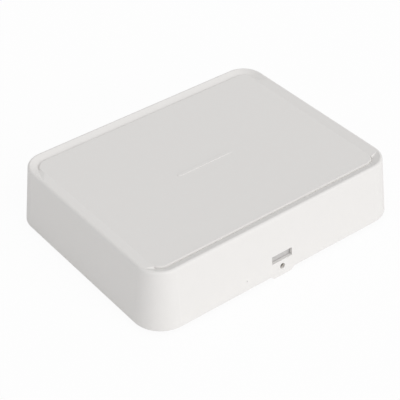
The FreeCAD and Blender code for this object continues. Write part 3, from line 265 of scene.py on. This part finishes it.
def block(low, high):
    """Box between two corners."""
    start()
    bpy.ops.mesh.primitive_cube_add(
        size=1,
        location=[(a + b) / 2 * MM for a, b in zip(low, high)],
        scale=[(b - a) * MM for a, b in zip(low, high)],
    )
    return fix_place()


def disc(radius, low_z, high_z, x, y, sides=24):
    """Upright round body."""
    start()
    bpy.ops.mesh.primitive_cylinder_add(
        vertices=sides, radius=radius * MM, depth=(high_z - low_z) * MM,
        location=(x * MM, y * MM, (low_z + high_z) / 2 * MM),
    )
    return fix_place()


def edit(piece, wanted):
    """Opens a piece for editing with the faces selected whose normal and middle fit."""
    take(piece)
    bpy.ops.object.mode_set(mode="EDIT")
    bpy.ops.mesh.select_mode(type="FACE")
    bpy.ops.mesh.select_all(action="DESELECT")
    shape = bmesh.from_edit_mesh(piece.data)
    for face in shape.faces:
        face.select_set(bool(wanted(face.normal, face.calc_center_median() / MM)))
    bmesh.update_edit_mesh(piece.data)


def pull(x, y, z):
    """Extrudes the selected faces."""
    bpy.ops.mesh.extrude_region_move(TRANSFORM_OT_translate={"value": (x * MM, y * MM, z * MM)})


def frame_in(width, depth=0.0):
    """Insets the selected faces."""
    bpy.ops.mesh.inset(thickness=width * MM, depth=depth * MM)


def faces_up(normal, middle):
    return normal.z > 0.9


def soften(piece, width, segments=2):
    """Rounds a piece's sharp edges."""
    take(piece)
    bevel = piece.modifiers.new("edges", "BEVEL")
    bevel.width = width * MM
    bevel.segments = segments
    bevel.limit_method = "ANGLE"
    bevel.angle_limit = math.radians(40)
    bpy.ops.object.modifier_apply(modifier="edges")
    bpy.ops.object.shade_smooth_by_angle(angle=math.radians(35))
    return piece


def row_of(piece, count, step):
    """Repeats a piece along a line."""
    take(piece)
    row = piece.modifiers.new("row", "ARRAY")
    row.count = count
    row.use_relative_offset = False
    row.use_constant_offset = True
    row.constant_offset_displace = [s * MM for s in step]
    bpy.ops.object.modifier_apply(modifier="row")
    return piece


def move(piece, x, y, z=0.0):
    take(piece)
    bpy.ops.transform.translate(value=(x * MM, y * MM, z * MM))
    return fix_place()


def copy_of(piece, x=0.0, y=0.0, turn=0, about=(0, 0)):
    """Copy with its own mesh, turned about an upright line and then moved."""
    take(piece)
    bpy.ops.object.duplicate()
    if turn:
        bpy.ops.transform.rotate(
            value=math.radians(turn), orient_axis="Z", center_override=(about[0] * MM, about[1] * MM, 0)
        )
    bpy.ops.transform.translate(value=(x * MM, y * MM, 0))
    return fix_place()


def copies(piece, places):
    """One piece made of copies at places (x, y, turn); the first one is used up."""
    made = [copy_of(piece, x, y, turn) for x, y, turn in places]
    bpy.data.objects.remove(piece)
    return joined(made)


def joined(pieces):
    start()
    for piece in pieces:
        piece.select_set(True)
    bpy.context.view_layer.objects.active = pieces[0]
    if len(pieces) > 1:
        bpy.ops.object.join()
    return bpy.context.object


def finished(piece, name, finish, body="base"):
    """Names a piece, gives it its finish and sets it on its body."""
    piece.name = name
    piece.data.name = name
    if finish:
        piece.data.materials.append(finish)
    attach(piece, body)
    return piece


# Board

def track(points, width):
    """Copper track under the mask: a low strip that starts along X and runs through the points."""
    (x, y), (next_x, _) = points[0], points[1]
    way = 1 if next_x > x else -1
    strip = block(
        (min(x, next_x), y - width / 2, BOARD_TOP - 0.05), (max(x, next_x), y + width / 2, BOARD_TOP + 0.04)
    )
    edit(strip, lambda normal, middle: normal.x * way > 0.9)
    here = points[1]
    for place in points[2:]:
        pull(place[0] - here[0], place[1] - here[1], 0)
        here = place
    start()
    return strip


def board_tracks():
    runs = [
        ([(-13, 24.4), (-12.4, 24.4), (-11.5, 24.0)], 0.3, 14, 0.8),
        ([(-62, -30.5), (-42, -30.5), (-36, -24.5), (-16, -24.5)], 1.6, 2, 2.6),
        ([(24, -29), (22, -29), (2, -9), (1, -9)], 0.35, 6, 0.9),
        ([(-16, 62), (-50, 62), (-52, 60), (-56, 60)], 0.35, 5, -0.85),
    ]
    for side in (-1, 1):
        runs += [
            ([(side * 74, 37), (side * 66, 37), (side * 60, 31), (side * 33, 31)], 0.35, 9, 0.85),
            ([(side * 74, 12), (side * 62, 12), (side * 59, 13.5), (side * 52.5, 13.5)], 0.5, 6, 1.3),
            ([(side * 54, -30), (side * 52, -30), (side * 44, -38), (side * 43, -38)], 1.3, 2, 3.4),
            ([(side * 40, 14), (side * 30, 14), (side * 24, 20), (side * 12, 20)], 0.35, 6, 0.85),
        ]
    bundles = [row_of(track(points, width), count, (0, pitch, 0)) for points, width, count, pitch in runs]
    finished(joined(bundles), "board_tracks", track_green)


def plated_holes():
    """Small plated holes where tracks change side."""
    ring = disc(0.4, BOARD_TOP - 0.05, BOARD_TOP + 0.05, 0, 0, sides=10)
    edit(ring, faces_up)
    frame_in(0.2)
    pull(0, 0, -0.08)
    start()
    places = [(-10 + 1.7 * n, 13.6 - 0.6 * (n % 2), 0) for n in range(13)]
    places += [(16.5 + 1.4 * (n % 3), 21 + 2.1 * n, 0) for n in range(9)]
    places += [(-36.5 + 1.2 * (n % 2), 21 + 2.6 * n, 0) for n in range(8)]
    places += [(-30 + 3.3 * n, 9.5 + 1.1 * (n % 2), 0) for n in range(16)]
    places += [(side * (30.5 + 2.2 * n), 4.5 + 1.3 * (n % 2), 0) for side in (-1, 1) for n in range(4)]
    places += [(side * 60.5, 33 + 4.5 * n, 0) for side in (-1, 1) for n in range(7)]
    places += [(24.0 + 2.6 * n, -29.5 + 1.0 * (n % 2), 0) for n in range(10)]
    finished(copies(ring, places), "plated_holes", tinned)


def printed_frame(low, high, width=0.22):
    """Frame printed on the board; only its border stands proud."""
    line = block((*low, BOARD_TOP - 0.03), (*high, BOARD_TOP + 0.02))
    edit(line, faces_up)
    frame_in(width)
    pull(0, 0, -0.04)
    start()
    return line


def board_print_lines():
    frames = [
        ((-12.3, 17.7), (12.3, 42.3)), ((-7.2, 48.0), (9.6, 57.6)), ((27.6, 35.6), (56.4, 60.4)),
        ((5.8, -17.2), (22.2, -2.8)), ((-12.7, -16.7), (0.7, -3.3)), ((-42.7, -17.6), (-17.3, 0.7)),
        ((25.3, -52.6), (42.7, -32.8)), ((52.5, -52.6), (61.3, -47.2)), ((6.9, -37.6), (21.1, -30.4)),
        ((10.3, 58.3), (17.7, 65.7)), ((-14.6, 58.1), (-1.4, 65.9)), ((-26.5, 42.8), (-13.5, 49.2)),
    ]
    for low_y in (18.0, 31.0):
        frames.append(((-33.0, low_y), (-11.4, low_y + 11.0)))
    for side in (-1, 1):
        outer, inner = side * 73.2, side * 52.8
        frames.append(((min(outer, inner), -28.2), (max(outer, inner), -11.3)))
        frames.append(((min(outer, inner), -8.7), (max(outer, inner), 8.2)))
        for low_y, high_y in ((7.2, 30.8), (31.2, 64.8), (-26.8, 6.8)):
            edge, back = side * 86.0, side * 74.3
            frames.append(((min(edge, back), low_y), (max(edge, back), high_y)))
    lines = [printed_frame(low, high) for low, high in frames]
    finished(joined(lines), "board_print_lines", board_print)


# Chips and small parts

def gull_wing(edge, lift, width):
    """Chip lead on the +X side: foot on the board, riser and shoulder into the body."""
    seat = BOARD_TOP + SOLDER
    lead = block((edge + 0.75, -width / 2, seat), (edge + 1.4, width / 2, seat + 0.16))
    edit(lead, lambda normal, middle: normal.x < -0.9)
    pull(-0.25, 0, lift)
    pull(-0.65, 0, 0)
    start()
    return lead


def chip_leads(x, y, edge, count, pitch, width, lift, turns):
    """Rows of leads round a chip, one row for each turn."""
    row = row_of(gull_wing(edge, lift, width), count, (0, pitch, 0))
    row = move(row, x, y - (count - 1) / 2 * pitch)
    rows = [copy_of(row, turn=turn, about=(x, y)) for turn in turns]
    bpy.data.objects.remove(row)
    return joined(rows)


def all_leads():
    groups = [chip_leads(0, 30, 10.0, 23, 0.8, 0.36, 0.6, (0, 90, 180, 270))]
    for y in (23.5, 36.5):
        groups.append(chip_leads(-22, y, 9.0, 11, 0.8, 0.3, 0.35, (0, 180)))
    for x in (-46, 46):
        for y in (12.75, 23.25):
            groups.append(chip_leads(x, y, 3.75, 8, 1.27, 0.42, 1.0, (90, 270)))
    finished(joined(groups), "chip_leads", tinned)


def chip_dots():
    """Moulded dot beside the first lead of each chip."""
    places = [(-8.4, 21.6, 12.2), (-29.8, 19.7, 11.9), (-29.8, 32.7, 11.9)]
    for x in (-50.1, 41.9):
        places += [(x, 10.2, 13.2), (x, 20.7, 13.2)]
    dots = []
    for x, y, top in places:
        dot = disc(0.5, top - 0.1, top + 0.03, x, y, sides=16)
        edit(dot, faces_up)
        frame_in(0.12, -0.02)
        start()
        dots.append(dot)
    finished(joined(dots), "chip_dots", dot_grey)


def surface_part(length, width, height, end, body_finish, end_finish):
    """Surface-mounted resistor or capacitor along X, with plated ends."""
    half = length / 2 - end
    seat = BOARD_TOP + SOLDER
    part = block((-half, -width / 2, seat), (half, width / 2, seat + height))
    for side in (-1, 1):
        edit(part, lambda normal, middle: normal.x * side > 0.9)
        pull(side * end, 0, 0)
    start()
    part.data.materials.append(body_finish)
    part.data.materials.append(end_finish)
    for face in part.data.polygons:
        if abs(face.center.x) > (half + 0.01) * MM:
            face.material_index = 1
    return soften(part, 0.05, 1)


def resistors():
    places = [(-9 + 2.25 * n, 16.0, 90) for n in range(9)]
    places += [(-48 + 6.0 * n, 63.9, 90) for n in range(6)]
    for side in (-1, 1):
        places += [(side * 69.6, 10.6 + 2.4 * n, 0) for n in range(8)]
        places += [(side * 69.6, 47.0 + 2.4 * n, 0) for n in range(7)]
        places += [(side * 56.5, 22.5 + 2.2 * n, 0) for n in range(4)]
    part = surface_part(1.6, 0.8, 0.45, 0.3, resistor_black, tinned)
    finished(copies(part, places), "resistors", None)


def ceramic_capacitors():
    places = [(14.6, 21.5 + 3.0 * n, 90) for n in range(7)]
    places += [(-6 + 3.2 * n, 44.6, 0) for n in range(5)]
    places += [(-35.0, 20.5 + 4.2 * n, 90) for n in range(6)]
    places += [(-28.6, 46.0, 90), (-11.4, 46.0, 90)]
    for side in (-1, 1):
        places += [(side * 38.0, 22.5 + 4.0 * n, 90) for n in range(2)]
        places += [(side * 63.0, 44.0 + 5.0 * n, 0) for n in range(4)]
    part = surface_part(2.0, 1.25, 0.9, 0.4, ceramic_tan, tinned)
    finished(copies(part, places), "ceramic_capacitors", None)


def clamp_diodes():
    """Moulded diodes with folded tabs and a printed bar at one end."""
    seat = BOARD_TOP + 0.2
    body = block((-2.0, -1.3, seat), (2.0, 1.3, seat + 1.8))
    edit(body, faces_up)
    frame_in(0.25, 0.2)
    start()
    body.data.materials.append(resistor_black)
    parts = [body]
    for side in (-1, 1):
        inner, outer = side * 1.9, side * 2.6
        tab = block((min(inner, outer), -0.75, BOARD_TOP + SOLDER), (max(inner, outer), 0.75, seat))
        edit(tab, faces_up)
        frame_in(0.12)
        pull(-side * 0.1, 0, 0.9)
        start()
        tab.data.materials.append(tinned)
        parts.append(tab)
    bar = block((-1.4, -0.95, seat + 1.95), (-0.9, 0.95, seat + 2.02))
    edit(bar, faces_up)
    frame_in(0.08, 0.01)
    start()
    bar.data.materials.append(board_print)
    parts.append(bar)
    places = [(side * 43.6, y, 90) for side in (-1, 1) for y in (-27.0, 7.3)]
    places += [(side * 63.5, 12.0 + 8.0 * n, 90) for side in (-1, 1) for n in range(2)]
    places += [(-20.0, -27.5, 0), (-8.0, -27.5, 0), (26.0, 12.0, 90), (33.0, 12.0, 90)]
    finished(copies(joined(parts), places), "clamp_diodes", None)


# Connectors and larger parts

def way_places():
    """Wire holes of every pluggable block: place of the mouth and the side it faces."""
    places = []
    for side in (-1, 1):
        for ways, y in ((6, 48.0), (4, 19.0), (6, -10.0)):
            for n in range(ways):
                along = y + (n - (ways - 1) / 2) * TERMINAL_PITCH
                places.append((side * SIDE_PLUG_FACE, along, -90 * side))
    for ways, x in ((2, -68.0), (4, -46.0)):
        for n in range(ways):
            places.append((x + (n - (ways - 1) / 2) * TERMINAL_PITCH, FRONT_PLUG_FACE, 0))
    return places


def wire_clamps():
    """Hollow rising clamp inside each wire hole, mouth towards -Y at the origin."""
    lift = BOARD_TOP + 4.1
    clamp = block((-0.95, 0.9, lift - 1.05), (0.95, 4.4, lift + 1.0))
    edit(clamp, lambda normal, middle: normal.y < -0.9)
    frame_in(0.25)
    pull(0, 3.0, 0)
    start()
    finished(copies(clamp, way_places()), "wire_clamps", tinned)


def release_ribs():
    """Finger ribs across the outer face of each plug, between its wire holes and its top."""
    rib = block((-1.7, 0, 17.1), (1.7, 0.25, 17.7))
    edit(rib, lambda normal, middle: normal.y < -0.9)
    frame_in(0.15)
    pull(0, -0.25, 0)
    start()
    finished(copies(rib, way_places()), "plug_ribs", terminal_green)


def relay_tops():
    """Raised panel and sealed vent on each relay."""
    panel = block((-8.2, -6.4, 25.7), (8.2, 6.4, 25.98))
    edit(panel, faces_up)
    frame_in(0.5)
    pull(0, 0, -0.1)
    start()
    panel = soften(panel, 0.04)
    vent = disc(0.9, 25.8, 26.25, 6.6, -4.9, sides=20)
    edit(vent, faces_up)
    frame_in(0.25)
    pull(0, 0, -0.2)
    start()
    vent = soften(vent, 0.04, 1)
    panels = copies(panel, [(side * RELAY_X, y, 0) for side in (-1, 1) for y in RELAY_ROWS])
    vents = [copy_of(vent, side * RELAY_X + (side - 1) * 6.6, y) for side in (-1, 1) for y in RELAY_ROWS]
    bpy.data.objects.remove(vent)
    finished(joined([panels] + vents), "relay_tops", relay_black)


def capacitor_tops():
    """Bare top with its scored cross, and the sleeve's stripe, on each capacitor."""
    tops, scores, stripes = [], [], []
    for x, radius, top in ((-72.0, 5.0, 26.6), (-60.4, 5.0, 26.6), (-48.8, 4.0, 22.1)):
        y = CAPACITOR_Y
        lid = disc(radius - 0.9, top - 0.2, top + 0.03, x, y, sides=32)
        edit(lid, faces_up)
        frame_in(0.3, -0.02)
        start()
        tops.append(lid)
        reach = radius - 2.0
        cross = block((x - 0.12, y - 0.12, top - 0.1), (x + 0.12, y + 0.12, top + 0.05))
        for way in ((1, 0), (-1, 0), (0, 1), (0, -1)):
            edit(cross, lambda normal, middle: normal.x * way[0] + normal.y * way[1] > 0.9
                 and abs(middle.x - x) + abs(middle.y - y) < 0.2)
            pull(way[0] * reach, way[1] * reach, 0)
        start()
        scores.append(cross)
        stripe = disc(radius + 0.04, BOARD_TOP + 4.0, top - 1.2, x, y, sides=48)
        edit(stripe, lambda normal, middle: math.hypot(middle.x - x, middle.y - y) < 0.1
             or (middle.y - y) > -radius * 0.92)
        bpy.ops.mesh.delete(type="FACE")
        start()
        take(stripe)
        wall = stripe.modifiers.new("wall", "SOLIDIFY")
        wall.thickness = 0.06 * MM
        bpy.ops.object.modifier_apply(modifier="wall")
        stripes.append(stripe)
    finished(joined(tops), "capacitor_lids", bare_aluminium)
    finished(joined(scores), "capacitor_scores", dot_grey)
    finished(joined(stripes), "capacitor_stripes", sleeve_stripe)


def socket_contacts():
    """Eight sprung wires of the network socket."""
    wire = block((-0.2, -50.6, 13.35), (0.2, -50.0, 13.7))
    edit(wire, lambda normal, middle: normal.y > 0.9)
    pull(0, 6.4, 2.6)
    pull(0, 1.6, 0)
    start()
    wires = row_of(move(wire, SOCKET_X - 3.5 * CONTACT_PITCH, 0), 8, (CONTACT_PITCH, 0, 0))
    finished(wires, "socket_contacts", gold_plate)


def socket_lamps():
    """Lamp windows and grounding springs on the network socket."""
    for name, side, finish in (("link_lamp", -1, lamp_green), ("traffic_lamp", 1, lamp_yellow)):
        x = SOCKET_X + side * 6.8
        lamp = block((x - 0.75, -54.55, 20.6), (x + 0.75, -54.3, 23.0))
        edit(lamp, lambda normal, middle: normal.y < -0.9)
        frame_in(0.2, 0.08)
        start()
        finished(soften(lamp, 0.06), name, finish)
    springs = []
    for side in (-1, 1):
        x = SOCKET_X + side * 8.0
        spring = block((x - 0.1, -50.5, 15.0), (x + 0.1, -46.5, 18.4))
        edit(spring, lambda normal, middle: normal.x * side > 0.9)
        frame_in(0.7)
        pull(side * 0.45, 0, 0)
        start()
        springs.append(soften(spring, 0.08))
    top = block((SOCKET_X - 3.0, -50.5, 23.9), (SOCKET_X + 3.0, -46.5, 24.1))
    edit(top, faces_up)
    frame_in(0.7)
    pull(0, 0, 0.4)
    start()
    springs.append(soften(top, 0.08))
    finished(joined(springs), "shield_springs", tinned_shell)


def cell_clip():
    """Sprung contact that holds the coin cell, and the plus mark pressed into the cell."""
    clip = block((48.4, 45.4, 15.1), (55.0, 50.6, 15.4))
    edit(clip, lambda normal, middle: normal.x < -0.9)
    pull(-2.2, 0, 0.25)
    pull(-2.6, 0, -0.5)
    start()
    finished(soften(clip, 0.08), "cell_clip", tinned)
    x, y = CELL_MARK
    mark = block((x - 0.25, y - 0.25, 14.9), (x + 0.25, y + 0.25, 15.05))
    for way in ((1, 0), (-1, 0), (0, 1), (0, -1)):
        edit(mark, lambda normal, middle: normal.x * way[0] + normal.y * way[1] > 0.9
             and abs(middle.x - x) + abs(middle.y - y) < 0.4)
        pull(way[0] * 1.4, way[1] * 1.4, 0)
    start()
    finished(mark, "cell_plus", dot_grey)


def switch_numbers():
    """Numbers and ON beside the address switches."""
    words = [(str(n + 1), -8.0 + (n - 1.5) * SWITCH_PITCH, 59.05, 0.0011) for n in range(4)]
    words.append(("ON", -11.8, 64.0, 0.0009))
    made = []
    for word, x, y, size in words:
        start()
        bpy.ops.object.text_add(location=(x * MM, y * MM, SWITCH_TOP * MM))
        text = bpy.context.object
        text.data.body = word
        text.data.size = size
        text.data.align_x = "CENTER"
        text.data.extrude = 0.00003
        bpy.ops.object.convert(target="MESH")
        made.append(fix_place())
    finished(joined(made), "switch_numbers", board_print)


def tamper_legs():
    """Solder tails on both sides of the tamper switch."""
    leg = block((-0.4, 2.9, BOARD_TOP + 0.02), (0.4, 3.05, 12.6))
    edit(leg, lambda normal, middle: normal.y > 0.9)
    frame_in(0.1, 0.03)
    start()
    places = [(x, TAMPER_Y, turn) for x in (8.6, 14.0, 19.4) for turn in (180, 0)]
    finished(copies(leg, places), "tamper_legs", tinned)


def reset_details():
    """Pressed metal frame and soldered feet of the reset switch."""
    x, y = RESET_PLACE
    lid = block((x - 2.85, y - 2.85, 14.0), (x + 2.85, y + 2.85, 14.25))
    edit(lid, faces_up)
    frame_in(0.9)
    pull(0, 0, -0.01)
    bpy.ops.mesh.delete(type="FACE")
    edit(lid, lambda normal, middle: normal.z < -0.9)
    bpy.ops.mesh.delete(type="FACE")
    start()
    take(lid)
    wall = lid.modifiers.new("wall", "SOLIDIFY")
    wall.thickness = 0.1 * MM
    bpy.ops.object.modifier_apply(modifier="wall")
    finished(lid, "reset_frame", tinned)
    foot = block((3.17, -0.35, BOARD_TOP + SOLDER), (3.9, 0.35, 10.8))
    edit(foot, lambda normal, middle: normal.x < -0.9)
    pull(-0.16, 0, 0)
    edit(foot, lambda normal, middle: normal.z > 0.9 and middle.x < 3.17)
    pull(0, 0, 1.2)
    start()
    places = [(x, y + step, turn) for turn in (180, 0) for step in (-2.2, 2.2)]
    finished(copies(foot, places), "reset_feet", tinned)


def transformer_pins():
    """Bobbin pins along both sides of the transformer."""
    pins = []
    for side in (-1, 1):
        edge = TRANSFORMER_Y + side * 6.5
        pin = block(
            (8.2, min(edge, edge + side * 0.9), BOARD_TOP + SOLDER), (8.9, max(edge, edge + side * 0.9), 10.9)
        )
        edit(pin, faces_up)
        pull(0, -side * 0.5, 0.9)
        start()
        pins.append(row_of(pin, 5, (2.73, 0, 0)))
    finished(joined(pins), "transformer_pins", tinned)


def latch_pad():
    """The latch's press pad, close behind the slot; its dished face leans with the cover's wall."""
    pad = block((-9.9, -89.25, 13.1), (9.9, -88.9, 21.2))
    edit(pad, lambda normal, middle: normal.y < -0.9)
    bpy.ops.transform.rotate(
        value=math.radians(6), orient_axis="X", center_override=(0, -89.25 * MM, 21.2 * MM)
    )
    frame_in(0.5)
    frame_in(0.3, -0.12)
    soften(pad, 0.1)
    finished(pad, "latch_pad", latch_plastic, "latch")


def mould_marks():
    """Round ejector marks inside the cover."""
    mark = disc(3.0, CEILING_MARK_Z, CEILING_MARK_Z + 0.25, 0, 0, sides=28)
    edit(mark, lambda normal, middle: normal.z < -0.9)
    frame_in(0.25)
    pull(0, 0, 0.12)
    start()
    places = [(x, y, 0) for x in (-85, -31, 31, 85) for y in (-48, 48)]
    finished(copies(mark, places), "cover_marks", case_plastic, "cover")


# Stage

def make_stage():
    """Pale table that shows white to the camera and keeps the object's soft shadow."""
    start()
    bpy.ops.mesh.primitive_plane_add(size=8, location=(0, 0, -0.0002))
    table_top = bpy.context.object
    table_top.name = "table_top"
    material = bpy.data.materials.new("table_paper")
    material.use_nodes = True
    nodes, links = material.node_tree.nodes, material.node_tree.links
    paper = nodes["Principled BSDF"]
    paper.inputs["Base Color"].default_value = (0.9, 0.9, 0.9, 1)
    paper.inputs["Roughness"].default_value = 0.9
    white = nodes.new("ShaderNodeEmission")
    white.inputs["Color"].default_value = (1, 1, 1, 1)
    white.inputs["Strength"].default_value = 1
    rays = nodes.new("ShaderNodeLightPath")
    seen = nodes.new("ShaderNodeMath")
    seen.operation = "MULTIPLY"
    seen.inputs[1].default_value = PAPER_GLOW
    blend = nodes.new("ShaderNodeMixShader")
    links.new(rays.outputs["Is Camera Ray"], seen.inputs[0])
    links.new(seen.outputs["Value"], blend.inputs["Fac"])
    links.new(paper.outputs["BSDF"], blend.inputs[1])
    links.new(white.outputs["Emission"], blend.inputs[2])
    links.new(blend.outputs["Shader"], nodes["Material Output"].inputs["Surface"])
    table_top.data.materials.append(material)


def make_daylight():
    """Even pale surroundings, white to the camera and in reflections."""
    world = bpy.data.worlds.new("studio")
    bpy.context.scene.world = world
    world.use_nodes = True
    nodes, links = world.node_tree.nodes, world.node_tree.links
    light = nodes["Background"]
    light.inputs["Color"].default_value = (1, 1, 1, 1)
    light.inputs["Strength"].default_value = DAYLIGHT_POWER
    white = nodes.new("ShaderNodeBackground")
    white.inputs["Color"].default_value = (1, 1, 1, 1)
    white.inputs["Strength"].default_value = 1
    rays = nodes.new("ShaderNodeLightPath")
    either, any_of = nodes.new("ShaderNodeMath"), nodes.new("ShaderNodeMath")
    either.operation = any_of.operation = "MAXIMUM"
    blend = nodes.new("ShaderNodeMixShader")
    links.new(rays.outputs["Is Camera Ray"], either.inputs[0])
    links.new(rays.outputs["Is Glossy Ray"], either.inputs[1])
    links.new(either.outputs["Value"], any_of.inputs[0])
    links.new(rays.outputs["Is Transmission Ray"], any_of.inputs[1])
    links.new(any_of.outputs["Value"], blend.inputs["Fac"])
    links.new(light.outputs["Background"], blend.inputs[1])
    links.new(white.outputs["Background"], blend.inputs[2])
    links.new(blend.outputs["Shader"], nodes["World Output"].inputs["Surface"])


def make_key_light():
    """Broad soft light from the latch side."""
    lamp = bpy.data.lights.new("key_light", "SUN")
    lamp.energy = KEY_POWER
    lamp.angle = KEY_SPREAD
    key = bpy.data.objects.new("key_light", lamp)
    bpy.context.scene.collection.objects.link(key)
    level = Vector((-math.sin(KEY_TURN), math.cos(KEY_TURN), 0))
    way = level * math.cos(KEY_HEIGHT) - Vector((0, 0, math.sin(KEY_HEIGHT)))
    key.rotation_mode = "QUATERNION"
    key.rotation_quaternion = way.to_track_quat("-Z", "Y")


def make_camera():
    eye = bpy.data.cameras.new("camera")
    eye.lens = CAMERA_LENS
    eye.sensor_width = 36
    eye.clip_start = 0.05
    eye.clip_end = 50
    camera = bpy.data.objects.new("camera", eye)
    bpy.context.scene.collection.objects.link(camera)
    way = CAMERA_AIM - CAMERA_PLACE
    camera.location = CAMERA_PLACE
    camera.rotation_mode = "QUATERNION"
    camera.rotation_quaternion = way.to_track_quat("-Z", "Y") @ Quaternion((0, 0, 1), CAMERA_ROLL)
    bpy.context.scene.camera = camera


dress_nodes()
board_tracks()
plated_holes()
board_print_lines()
all_leads()
chip_dots()
resistors()
ceramic_capacitors()
clamp_diodes()
wire_clamps()
release_ribs()
relay_tops()
capacitor_tops()
socket_contacts()
socket_lamps()
cell_clip()
switch_numbers()
tamper_legs()
reset_details()
transformer_pins()
latch_pad()
mould_marks()
make_stage()
make_daylight()
make_key_light()
make_camera()
bpy.context.scene.view_settings.view_transform = "Standard"
